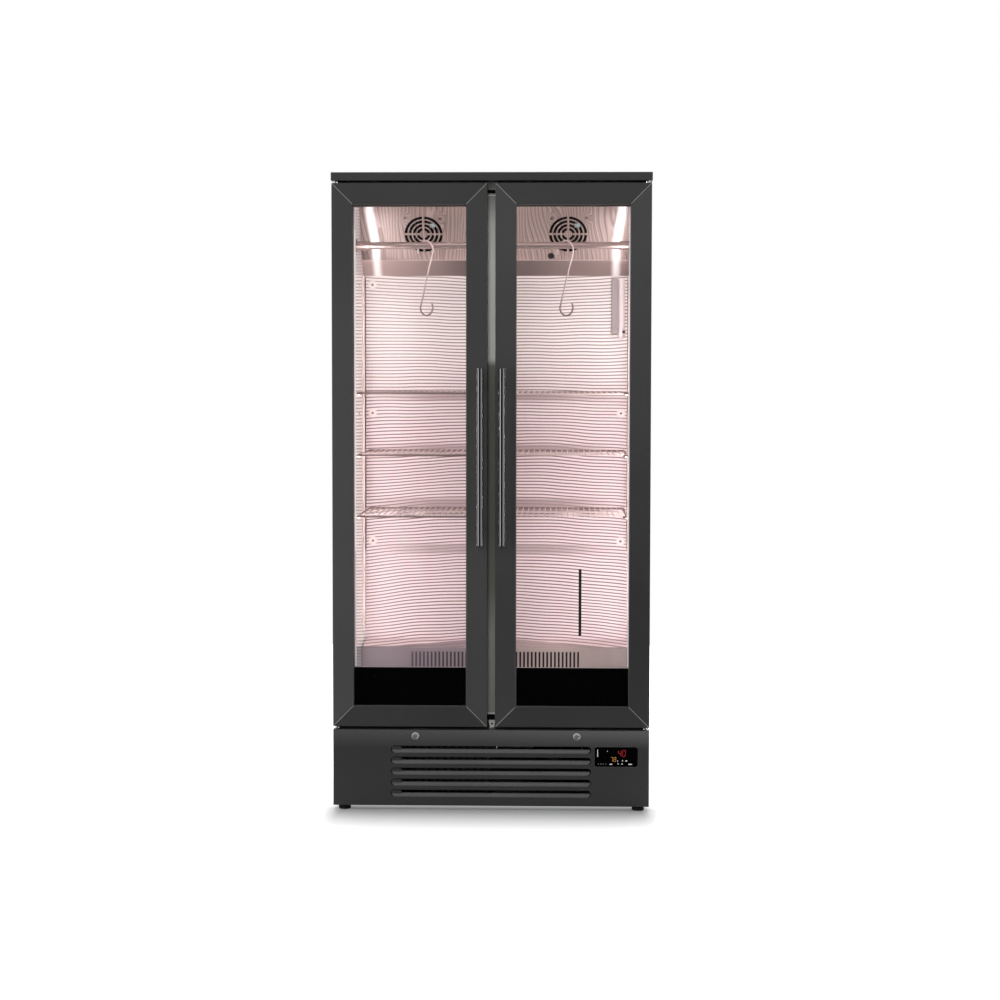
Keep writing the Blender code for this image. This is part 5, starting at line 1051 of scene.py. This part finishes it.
# The pink cast of the holder and of the tube cover is painted light from the strips.
lamp_grey = surface("grey_lamp_holder", (0.44, 0.38, 0.385), (0.36, 0.31, 0.315), 350.0,
                    rough=(0.35, 0.5), bump=0.05)
tube_cover = surface("frosted_tube_cover", (0.99, 0.88, 0.885), (0.90, 0.79, 0.80), 120.0,
                     rough=(0.25, 0.35), bump=0.02)
grommet_rubber = surface("black_lamp_grommet", (0.012, 0.011, 0.011), (0.006, 0.006, 0.006),
                         300.0, rough=(0.5, 0.65), bump=0.05)
low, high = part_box("germ_lamp")
holder = slab("lamp_holder", (low[0], low[1], HOLDER_FOOT),
              (LAMP_SPLIT + 0.0006, high[1], high[2]), 0.0015, 3)
dress(holder, lamp_grey, stands_for=("germ_lamp",))
length = high[2] - low[2]
tube = turned("lamp_tube", "z", (high[0] - TUBE_RADIUS, high[1] - 0.015, low[2]), [
    (0.0030, 0.0), (0.0062, 0.0014), (0.0085, 0.0036), (0.0101, 0.0068), (TUBE_RADIUS, 0.0110),
    (TUBE_RADIUS, length - 0.0016), (TUBE_RADIUS - 0.0010, length - 0.0006)],
    sides=32, angle=40.0)
dress(tube, tube_cover)
grommet = turned("lamp_grommet", "y", (high[0] - 0.0034, high[1] - 0.0278, low[2] + 0.0195), [
    (GROMMET_RADIUS - 0.0008, 0.0), (GROMMET_RADIUS, 0.0008), (GROMMET_RADIUS, 0.0060)], sides=24)
dress(grommet, grommet_rubber)


# Return air cover: the same stainless, with the liner's painted light, over the duct at the foot
# of the back wall, with a flange at each end. A dark sheet behind it paints the shade in its slots.
RETURN_FACE = 0.1375
RETURN_HALF = 0.262
RETURN_SHADE = ((0.095, 0.080, 0.095), (0.006, 0.004, 0.004))    # painted shade in the slots, on the left and on the right
FLANGE_X = (0.3987, 0.4044)

wear("return_air_cover", painted_light_liner)
flanges = []
for side in (-1, 1):
    ends = sorted(side * at for at in FLANGE_X)
    flanges.append(slab("flange", (ends[0], RETURN_FACE + 0.0005, 0.2812),
                        (ends[1], RETURN_FACE + 0.0020, 0.4140)))
dress(joined("return_cover_flanges", flanges), painted_light_liner)
duct_shade, place = new_material("return_duct_shade")
shade(duct_shade, {"Roughness": 0.9,
                   "Base Color": mixed(ranged(axes(place)["X"], -0.22, 0.05), *RETURN_SHADE)})
shade_sheet = slab("return_duct_shade_sheet", (-RETURN_HALF, RETURN_FACE + 0.0030, 0.300),
              (RETURN_HALF, RETURN_FACE + 0.0500, 0.4080), 0.001)
dress(shade_sheet, duct_shade)


# Kick panel: folded steel over the machine room. Five louvres are pressed in: each is a long
# round-ended slot whose lower lip curls in behind it. The locks and the display sit in it.
KICK_SHEET = 0.0012
FRONT = -0.2575
LOUVRE_HALF = 0.2835
LOUVRE_HEIGHT = 0.0200
LOUVRE_PITCH = 0.0314
LOUVRE_TOP = 0.1848
LOUVRE_COUNT = 5
LIP_DEPTH = 0.0070
LIP_RISE = 0.0104
LIP_END_GAP = 0.0026         # slit round each end of a lip
LOCK_Z = 0.2126
LOCK_X = (("left", -0.2139), ("right", 0.2430))
LOCK_HOLE = 0.0083
DISPLAY_MIDDLE = (0.3545, 0.1565)
DISPLAY_HALF = (0.0620, 0.0290)

kick_low, kick_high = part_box("kick_panel")
panel = block("kick_front", (kick_low[0], FRONT, kick_low[2]), kick_high)
rounded(panel, 0.002, 4, lambda edge: all(point.co.y < FRONT + 0.001 for point in edge.verts)
        and (abs(edge.verts[0].co.z - edge.verts[1].co.z) > 0.1 or edge.verts[0].co.z > 0.2))
pick(panel, "FACE", lambda face: face.normal.y > 0.9 or face.normal.z < -0.9)
bpy.ops.mesh.delete(type="FACE")
bpy.ops.object.mode_set(mode="OBJECT")
modified(panel, "SOLIDIFY", thickness=KICK_SHEET, offset=-1.0, use_even_offset=True)


def front_to_back(edge):
    """Whether an edge runs from front to back."""
    return abs(edge.verts[0].co.y - edge.verts[1].co.y) > 0.0001


def stadium(name, half, radius, middle_z, near, far):
    """A round-ended bar along X, for a slot or for what fills one."""
    bar = block(name, (-half, near, middle_z - radius), (half, far, middle_z + radius))
    return rounded(bar, radius * 0.999, 10, front_to_back)


def around_display(name, inset, near, far):
    """A block behind the outline of the display, set in from it all round."""
    low, high = ([middle + way * (half - inset) for middle, half in
                  zip(DISPLAY_MIDDLE, DISPLAY_HALF)] for way in (-1, 1))
    return block(name, (low[0], near, low[1]), (high[0], far, high[1]))


feet = [LOUVRE_TOP - LOUVRE_HEIGHT - i * LOUVRE_PITCH for i in range(LOUVRE_COUNT)]
tools = [stadium("cutter", LOUVRE_HALF, LOUVRE_HEIGHT / 2, foot + LOUVRE_HEIGHT / 2,
                 FRONT - 0.004, FRONT + 0.004) for foot in feet]
tools.append(around_display("cutter", 0.0047, FRONT - 0.004, FRONT + 0.004))
for word, x in LOCK_X:
    tools.append(turned("cutter", "y", (x, FRONT, LOCK_Z),
                        [(LOCK_HOLE, -0.004), (LOCK_HOLE, 0.004)], sides=28))
    tools.append(block("cutter", (x - 0.0075, -0.2420, kick_high[2] - 0.003),
                       (x + 0.0335, -0.2365, kick_high[2] + 0.004)))
carved(panel, tools)
softened(panel, 0.00035, 2)
lips = []
for foot in feet:
    lip = curled("lip", 2 * LOUVRE_HALF - 0.0008, 0.0020, FRONT + 0.0006, foot, LIP_DEPTH,
                 LIP_RISE, steps=8, thickness=0.0009)
    keeper = stadium("keeper", LOUVRE_HALF - LIP_END_GAP, LOUVRE_HEIGHT / 2 - 0.0002,
                     foot + LOUVRE_HEIGHT / 2, FRONT - 0.002, FRONT + 0.02)
    lips.append(carved(lip, [keeper], "INTERSECT"))
cheeks = [rounded(block("cheek", (-LOUVRE_HALF + 0.0022, FRONT + 0.0010, foot + 0.0100),
                        (-LOUVRE_HALF + 0.0300, FRONT + 0.0026, foot + 0.0174)),
                  0.0030, 5, front_to_back) for foot in feet]
lip_piece = smoothed(joined("louvre_lips", lips), 40)
# The coat is painted light: lighter at the panel's head and most towards the right, darker low
# down.
kick_lit_coat = surface("kick_panel_powder_coat", (0.031, 0.031, 0.031), (0.025, 0.025, 0.0255),
                    POWDER_GRAIN, rough=POWDER_ROUGH, bump=0.05)
painted_light_rise(kick_lit_coat, 0.178, 0.224, (0.80,) * 3, (1.85,) * 3, (3.10,) * 3)
# The lips are painted lighter than the panel, as light falling on them.
lit_lip_coat = surface("louvre_lip_powder_coat", (0.095, 0.095, 0.095), (0.078, 0.078, 0.079),
                   POWDER_GRAIN, rough=(0.36, 0.48), bump=0.05)
dress(panel, kick_lit_coat, stands_for=("kick_panel",))
dress(lip_piece, lit_lip_coat)
dress(joined("louvre_cheeks", cheeks), kick_lit_coat)


# Controller: a black glass front with round corners in a slim grey bezel. It shows the
# temperature in red and the humidity in orange, over a row of touch marks.
DIGIT_SLANT = 0.08
RED_DIGITS = (("4", 0.3600), ("0", 0.3722))
ORANGE_DIGITS = (("7", 0.3388), ("8", 0.3476))
SEGMENTS = {"0": "abcdef", "4": "bcfg", "7": "abc", "8": "abcdefg"}
MARKS = (                    # x, z, width and height of each
    (0.3022, 0.1674, 0.0018, 0.0200), (0.3022, 0.1588, 0.0034, 0.0034),
    (0.3298, 0.1729, 0.0020, 0.0026), (0.3585, 0.1451, 0.0028, 0.0028),
    (0.3726, 0.1461, 0.0022, 0.0036), (0.3833, 0.1456, 0.0052, 0.0030),
    (0.3402, 0.1358, 0.0088, 0.0026), (0.3605, 0.1366, 0.0040, 0.0022),
    (0.3718, 0.1366, 0.0038, 0.0030), (0.3945, 0.1357, 0.0110, 0.0028))
KEYS = ((0.3050, 0.1362, 0.0036, 0.0030), (0.3118, 0.1362, 0.0036, 0.0030),
        (0.3186, 0.1362, 0.0036, 0.0030), (0.3260, 0.1362, 0.0036, 0.0022))

low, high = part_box("controller")
front_y = low[1]
bezel = rounded(around_display("display_bezel", 0.0, front_y + 0.0004, FRONT - 0.0002),
                0.007, 8, front_to_back)
softened(bezel, 0.0003, 2)
bezel_grey = surface("grey_display_bezel", (0.20, 0.20, 0.21), (0.15, 0.15, 0.16), 500.0,
                     rough=(0.3, 0.4), bump=0.04)
dress(bezel, bezel_grey, stands_for=("controller",))
glass_front = rounded(around_display("display_glass", 0.0005, front_y + 0.0001, front_y + 0.0007),
                      0.0066, 8, front_to_back)
softened(glass_front, 0.0002, 2)
black_glass = surface("black_display_glass", (0.0010, 0.0010, 0.0014), (0.0005, 0.0005, 0.0008),
                      90.0, rough=(0.10, 0.16), bump=0.0)
shade(black_glass, {"Specular IOR Level": 0.04})
dress(glass_front, black_glass)
case = softened(around_display("display_case", 0.0050, FRONT + 0.0004, high[1]), 0.0012)
dress(case, black_plastic)


def glowing(name, colour, dim, strength):
    """A lit mark behind the display glass, with a fine grain in its tone."""
    material = surface(name, colour, dim, 900.0, rough=(0.3, 0.4), bump=0.0)
    base = material.node_tree.nodes["Principled BSDF"].inputs["Base Color"]
    shade(material, {"Emission Color": base.links[0].from_socket, "Emission Strength": strength})
    return material


def mark(x, z, width, tall):
    """A small rounded mark on the face of the display."""
    bar = block("mark", (x - width / 2, front_y - 0.00005, z - tall / 2),
                (x + width / 2, front_y + 0.0002, z + tall / 2))
    return rounded(bar, min(width, tall) * 0.49, 3, front_to_back)


def digits(name, characters, low_z, tall, wide, stroke):
    """Seven-segment numbers as one mesh of short bars."""
    bars = []
    half = tall / 2
    for character, x in characters:
        middle, right = x + wide / 2, x + wide
        low_half, high_half = low_z + half * 0.5, low_z + half * 1.5
        places = {"a": (middle, low_z + tall, wide, stroke), "d": (middle, low_z, wide, stroke),
                  "g": (middle, low_z + half, wide, stroke), "b": (right, high_half, stroke, half),
                  "c": (right, low_half, stroke, half), "f": (x, high_half, stroke, half),
                  "e": (x, low_half, stroke, half)}
        for segment in SEGMENTS[character]:
            at_x, at_z, *size = places[segment]
            bars.append(mark(at_x + (at_z - low_z) * DIGIT_SLANT, at_z,
                             *(max(length - stroke * 0.4, stroke) for length in size)))
    return joined(name, bars)


red_glow = glowing("red_digit_glow", (0.34, 0.010, 0.020), (0.22, 0.006, 0.012), 0.22)
orange_glow = glowing("orange_digit_glow", (0.50, 0.21, 0.03), (0.34, 0.14, 0.02), 0.22)
white_glow = glowing("white_mark_glow", (0.70, 0.70, 0.72), (0.50, 0.50, 0.52), 0.20)
grey_glow = glowing("grey_mark_glow", (0.14, 0.14, 0.16), (0.09, 0.09, 0.10), 0.05)
temperature = digits("temperature_digits", RED_DIGITS, 0.1582, 0.0170, 0.0078, 0.0016)
dress(temperature, red_glow)
humidity = digits("humidity_digits", ORANGE_DIGITS, 0.1434, 0.0120, 0.0056, 0.0013)
dress(humidity, orange_glow)
for name, places, lit in (("display_marks", MARKS, white_glow), ("display_keys", KEYS, grey_glow)):
    dress(joined(name, [mark(*place) for place in places]), lit)


# Door locks: chromed key barrels with a cam behind that turns up into the door. Each holds a
# dark key plug with an upright slot.
CAM_HALF = 0.006
CAM_REACH = 0.0335
CAM_Y = (-0.24085, -0.2381)
KEY_SLOT_HALF = (0.0008, 0.0034)

chrome = surface("bright_chrome", (0.56, 0.56, 0.56), (0.46, 0.46, 0.46), 800.0,
                 rough=(0.06, 0.12), metallic=1.0, bump=0.01)
lock_chrome = surface("dull_lock_chrome", (0.74, 0.74, 0.74), (0.56, 0.56, 0.56), 800.0,
                      rough=(0.16, 0.26), metallic=0.9, bump=0.02)
barrel_dark = surface("dark_key_plug", (0.230, 0.230, 0.230), (0.150, 0.150, 0.150), 700.0,
                      rough=(0.2, 0.3), metallic=0.3, bump=0.02)
for word, x in LOCK_X:
    barrel = turned("lock_barrel", "y", (x, FRONT, LOCK_Z), [
        (0.0074, 0.0165), (0.0080, 0.0160), (0.0080, -0.0003), (0.0104, -0.0003),
        (0.0110, -0.0010), (0.0106, -0.0020), (0.0092, -0.0030), (0.0070, -0.0030),
        (0.0060, -0.0026), (0.0058, -0.0010)], sides=40, angle=35.0)
    cam = block("cam", (x - CAM_HALF, CAM_Y[0], LOCK_Z - CAM_HALF),
                (x + CAM_REACH, CAM_Y[1], LOCK_Z + CAM_HALF))
    softened(rounded(cam, 0.0045, 5, front_to_back), 0.0003, 1)
    dress(joined("key_lock_" + word, [barrel, cam]), lock_chrome, body=word + "_lock",
          stands_for=("door_lock_" + word,))
    plug = turned("key_plug_" + word, "y", (x, FRONT, LOCK_Z), [
        (0.0057, 0.0005), (0.0057, -0.0016), (0.0050, -0.0022), (0.0010, -0.0023)],
        sides=32, angle=35.0)
    carved(plug, [block("cutter", (x - KEY_SLOT_HALF[0], FRONT - 0.006, LOCK_Z - KEY_SLOT_HALF[1]),
                        (x + KEY_SLOT_HALF[0], FRONT - 0.0008, LOCK_Z + KEY_SLOT_HALF[1]))])
    dress(plug, barrel_dark, body=word + "_lock")


# Centre mullion: an anodised aluminium post behind the gap between the doors, with a black stop
# at each end. The lower stop stands on a waisted plate with two screws.
POST_FACE = -0.2055
POST_MIDDLE = 0.0015         # of the plate and its screws
# The post's tone along its height is painted light and shade: dark where the door gap shades it,
# bright where light falls in.
POST_LIGHT_AND_SHADE = (
    (0.25, (0.34, 0.35, 0.31)), (0.50, (0.40, 0.41, 0.37)), (0.62, (0.240, 0.240, 0.20)),
    (0.80, (0.175, 0.175, 0.145)), (1.14, (0.182, 0.182, 0.152)), (1.26, (0.215, 0.215, 0.185)),
    (1.28, (0.86, 0.885, 0.825)), (1.55, (0.98, 1.0, 0.94)), (1.66, (0.80, 0.82, 0.77)),
    (1.735, (0.36, 0.37, 0.34)), (1.755, (0.36, 0.37, 0.34)), (1.757, (0.20, 0.205, 0.185)))
STOPS = ((1.7448, 1.7540), (0.2536, 0.2677))
CLIPS = ((1.7376, 1.7404), (0.2690, 0.2730))
WAIST_Z = 0.2330
BRACKET_SCREWS = (0.2412, 0.2262)

anodised, place = new_material("anodised_post_painted_light")
tone = height_ramp(axes(place)["Z"], POST_LIGHT_AND_SHADE, 0.25, 1.51)
drawn = noise(place, 1.0, stretch=(900.0, 900.0, 6.0))
shade(anodised, {"Base Color": mixed(0.25, tone, drawn.outputs["Color"], "OVERLAY"),
                 "Roughness": ranged(drawn, 0.0, 1.0, 0.35, 0.5)})
wear("centre_mullion", anodised)
stops = [slab("stop", (-0.0130, POST_FACE - 0.0060, low_z), (0.0145, POST_FACE - 0.0004, high_z),
              0.0006, 2) for low_z, high_z in STOPS]
dress(joined("post_end_stops", stops), foot_rubber)
clips = [slab("clip", (-0.0120, POST_FACE - 0.0022, low_z), (0.0135, POST_FACE - 0.0003, high_z),
              0.0004, 2) for low_z, high_z in CLIPS]
bracket = block("clip", (-0.0085, POST_FACE - 0.0020, 0.2215), (0.0115, POST_FACE - 0.0003, 0.2520))
pick(bracket, "FACE", lambda face: True)
bpy.ops.mesh.bisect(plane_co=(0.0, 0.0, WAIST_Z), plane_no=(0.0, 0.0, 1.0))
bpy.ops.object.mode_set(mode="OBJECT")
pick(bracket, "VERT", lambda point: abs(point.co.z - WAIST_Z) < 0.0001)
bpy.ops.transform.resize(value=(0.62, 1.0, 1.0), center_override=(POST_MIDDLE, POST_FACE, WAIST_Z))
bpy.ops.object.mode_set(mode="OBJECT")
clips.append(softened(bracket, 0.0004))
clip_metal = surface("pale_clip_metal", (0.88, 0.89, 0.85), (0.76, 0.77, 0.73), 500.0,
                     rough=(0.3, 0.42), bump=0.03)
dress(joined("post_end_clips", clips), clip_metal)
# A plate in the post's finish over the header between the doors carries its painted light there.
head = slab("post_head_plate", (-0.0150, POST_FACE - 0.0024, 1.7542),
            (0.0165, POST_FACE - 0.0006, 1.7765), 0.0004, 2)
dress(head, anodised)
dress(joined("post_bracket_screws", [
    screw("post_screw", (POST_MIDDLE, POST_FACE - 0.0022, z), "y", radius=0.0034, proud=0.0016)
    for z in BRACKET_SCREWS]), chrome)


# Doors: four mitred bars of the hollow frame section, painted charcoal, each with its own painted
# light and shade. The mitres show as thin painted highlights. Behind the frames is the magnetic
# gasket.
FRAME_FACE = 0.0595
MITRE_WIDTH = 0.0010
DOOR_EDGES = (("left", -0.448, -0.0114), ("right", 0.0114, 0.448))
DOOR_BOTTOM = 0.2394
DOOR_TOP = 1.7700
LIGHT_RISE = (0.60, 1.60)
BAR_LIGHTS = {                # painted light and shade of each bar, at its foot and at its head
    "left_top_rail": (1.0, 1.0), "left_bottom_rail": (0.72, 0.72),
    "left_hinge_stile": (1.42, 1.20), "left_handle_stile": (1.25, 1.15),
    "right_top_rail": (1.06, 1.06), "right_bottom_rail": (0.72, 0.72),
    "right_hinge_stile": (0.72, 1.55), "right_handle_stile": (0.95, 1.38)}

# The mitre lines are painted highlights of the mitred edges.
mitre_highlight = surface("mitre_edge_highlight", (0.50, 0.50, 0.485), (0.40, 0.40, 0.39), 900.0,
                   rough=(0.3, 0.45), metallic=0.2, bump=0.03)
gasket_rubber = surface("grey_black_gasket", (0.030, 0.030, 0.031), (0.018, 0.018, 0.018), 350.0,
                        rough=(0.5, 0.65), bump=0.08)
length = math.hypot(FRAME_FACE, FRAME_FACE) - 0.0040
for word, left, right in DOOR_EDGES:
    for bar in ("top_rail", "bottom_rail", "hinge_stile", "handle_stile"):
        bar_lit_coat = surface("%s_%s_coat" % (word, bar), CHARCOAL_LIGHT, CHARCOAL_DARK,
                           POWDER_GRAIN, rough=POWDER_ROUGH, bump=0.05)
        foot_light, head_light = BAR_LIGHTS["%s_%s" % (word, bar)]
        painted_light_rise(bar_lit_coat, *LIGHT_RISE, (foot_light,) * 3, (head_light,) * 3)
        wear("%s_door_%s" % (word, bar), bar_lit_coat)
    wear(word + "_door_gasket", gasket_rubber)
    mitre_glints = []
    for x, inward in ((left, 1), (right, -1)):
        for z, rise in ((DOOR_BOTTOM, 1), (DOOR_TOP, -1)):
            middle = (x + inward * FRAME_FACE / 2, FRONT, z + rise * FRAME_FACE / 2)
            strip = slab("cut", (-length / 2, -0.00022, -MITRE_WIDTH / 2),
                         (length / 2, 0.0003, MITRE_WIDTH / 2), 0.00015)
            mitre_glints.append(moved(strip, Matrix.Translation(middle)
                              @ Matrix.Rotation(-inward * rise * math.pi / 4, 4, "Y")))
    dress(joined(word + "_mitre_lines", mitre_glints), mitre_highlight,
          body=word + "_door")


# Glass units: two clear panes on a dark spacer, with a bead along the top rail. A black band with
# a bare bright line over it is baked on along the bottom. The left unit's edge carries a painted
# glow.
PANE = 0.004
GLASS_FRONT = FRONT + 0.0053
GLASS_BACK = GLASS_FRONT + 0.020
GLASS_EDGE = 0.0463
SPACER_INSET = 0.0030
SPACER_WIDTH = 0.0100
BAND_INSET = 0.0135
BAND_TOP = 0.4075
EDGE_LINE_HEIGHTS = (0.7350, 1.6400)

clear, place = new_material("clear_float_glass")
haze = noise(place, 6.0)
shade(clear, {"Roughness": 0.03, "Alpha": 0.030, "IOR": 1.45, "Specular IOR Level": 0.25,
              "Base Color": ramp(haze, ((0.0, (0.010, 0.012, 0.012)),
                                        (1.0, (0.016, 0.018, 0.018))))})
black_enamel = surface("black_glass_enamel", (0.0005, 0.0005, 0.0006), (0.0002, 0.0002, 0.0003),
                       300.0, rough=(0.75, 0.9), bump=0.0)
shade(black_enamel, {"Specular IOR Level": 0.0})
spacer_metal = surface("dark_glass_spacer", (0.060, 0.050, 0.048), (0.040, 0.034, 0.033), 500.0,
                       rough=(0.4, 0.55), bump=0.04)
bead_metal = surface("grey_glazing_bead", (0.085, 0.078, 0.074), (0.066, 0.060, 0.057), 500.0,
                     rough=(0.35, 0.5), bump=0.03)
bright_line = surface("bare_band_edge", (0.42, 0.36, 0.36), (0.34, 0.29, 0.29), 500.0,
                      rough=(0.3, 0.45), bump=0.02)
# A painted glow of the strip light on the left unit's spacer.
edge_glow = surface("glass_edge_painted_glow", (0.66, 0.62, 0.605), (0.58, 0.54, 0.53), 500.0,
                     rough=(0.4, 0.5), bump=0.02)
shade(edge_glow, {"Emission Color": (1.0, 0.97, 0.96), "Emission Strength": 0.42})
near, far = GLASS_FRONT + PANE, GLASS_BACK - PANE
for word, left, right in DOOR_EDGES:
    body = word + "_door"
    x0, x1 = left + GLASS_EDGE, right - GLASS_EDGE
    z0, z1 = DOOR_BOTTOM + GLASS_EDGE, DOOR_TOP - GLASS_EDGE
    panes = [slab("pane", (x0, front, z0), (x1, front + PANE, z1), 0.0005)
             for front in (GLASS_FRONT, far)]
    dress(joined(word + "_glass_panes", panes), clear, body=body,
          stands_for=(word + "_door_glazing",))
    spacer = block("spacer", (x0 + SPACER_INSET, near + 0.0002, z0 + SPACER_INSET),
                   (x1 - SPACER_INSET, far - 0.0002, z1 - SPACER_INSET))
    pick(spacer, "FACE", lambda face: abs(face.normal.y) > 0.9)
    bpy.ops.mesh.inset(thickness=SPACER_WIDTH)
    bpy.ops.mesh.bridge_edge_loops()
    bpy.ops.object.mode_set(mode="OBJECT")
    softened(spacer, 0.0006, 1)
    dress(spacer, spacer_metal, body=body)
    seal = slab(word + "_spacer_top", (x0 + 0.0130, near + 0.0003, z1 - 0.0190),
                (x1 - 0.0130, far - 0.0003, z1 - 0.0131))
    bead_z = DOOR_TOP - FRAME_FACE
    bead = slab(word + "_glazing_bead", (x0 + 0.0132, FRONT + 0.0012, bead_z - 0.0026),
                (x1 - 0.0132, FRONT + 0.0048, bead_z + 0.0004))
    dress(bead, bead_metal, body=body)
    dress(seal, spacer_metal, body=body)
    for name, low_z, high_z, metal in (
            ("_black_band", z0 + BAND_INSET, BAND_TOP, black_enamel),
            ("_band_edge", BAND_TOP + 0.0002, BAND_TOP + 0.0016, bright_line)):
        band = slab(word + name, (x0 + BAND_INSET, near + 0.0003, low_z),
                    (x1 - BAND_INSET, near + 0.0009, high_z), 0.0001)
        dress(band, metal, body=body)
edge_x = DOOR_EDGES[0][1] + FRAME_FACE + 0.0034
edge = slab("left_glass_edge", (edge_x, near + 0.0004, EDGE_LINE_HEIGHTS[0]),
            (edge_x + 0.0030, near + 0.0012, EDGE_LINE_HEIGHTS[1]), 0.0002)
dress(edge, edge_glow, body="left_door")


# Handles: long round bars of dark chromed tube with soft ends, each on two posts with
# rosettes that screw through the frame.
HANDLE_RADIUS = 0.0097
HANDLE_Y = -0.3025 + HANDLE_RADIUS
HANDLE_LOW = 0.7530
HANDLE_HIGH = 1.2540
HANDLE_X = 0.0309
POST_INSET = 0.054
HANDLE_ENDS = ((0.0022, 0.0), (0.0010, 0.0005), (0.0002, 0.0015), (0.0, 0.0028), (0.0, 0.0060))

dark_chrome = surface("dark_chromed_tube", (0.138, 0.138, 0.142), (0.120, 0.120, 0.123), 600.0,
                      rough=(0.055, 0.075), metallic=1.0, bump=0.0)
length = HANDLE_HIGH - HANDLE_LOW
profile = [(HANDLE_RADIUS - narrower, along) for narrower, along in HANDLE_ENDS]
profile += [(radius, length - along) for radius, along in reversed(profile)]
for word, side in SIDES:
    x = side * HANDLE_X
    parts = [turned("bar", "z", (x, HANDLE_Y, HANDLE_LOW), profile, sides=48)]
    for z in (HANDLE_LOW + POST_INSET, HANDLE_HIGH - POST_INSET):
        parts.append(turned("post", "y", (x, FRONT - 0.0003, z), [
            (0.0089, 0.0), (0.0095, -0.0005), (0.0095, -0.0020), (0.0089, -0.0025),
            (0.0062, -0.0026), (0.0060, -0.0040), (0.0060, HANDLE_Y - FRONT + 0.0005)], sides=32))
    dress(joined("tube_handle_" + word, parts), dark_chrome, body=word + "_door",
          stands_for=(word + "_door_handle",))


# Hinges: chromed pressed brackets above and below each door's outer corner, with a bush and pin.
for word, side in SIDES:
    for end_word in ("upper", "lower"):
        wear("hinge_bracket_%s_%s" % (word, end_word), chrome)


# Machine room: compressor in black enamel on rubber grommets, behind the louvres.
enamel = surface("black_compressor_enamel", (0.022, 0.022, 0.022), (0.012, 0.012, 0.012), 200.0,
                 rough=(0.22, 0.4), bump=0.12)
wear("compressor", enamel)
black_fins = surface("black_coated_fins", (0.022, 0.022, 0.023), (0.008, 0.008, 0.008), 300.0,
                     rough=(0.5, 0.65), metallic=0.2, bump=0.08, stretch=(6.0, 1.0, 0.2))
wear("condenser_coil", black_fins)


# Light in the cavity: the two strips and the glow under the ceiling, as soft pink-white lamps.
CAVITY_LIGHT = (1.0, 0.93, 0.93)
for word, side in SIDES:
    soft_box("strip_light_" + word, (side * 0.376, -0.165, 0.93), (0.020, 1.30), 2.45,
             aim=(side * 0.10, 0.30, 0.93), colour=CAVITY_LIGHT)
soft_box("ceiling_glow", (0.0, -0.160, 1.715), (0.60, 0.02), 0.28, aim=(0.0, 0.12, 1.50),
         colour=CAVITY_LIGHT)
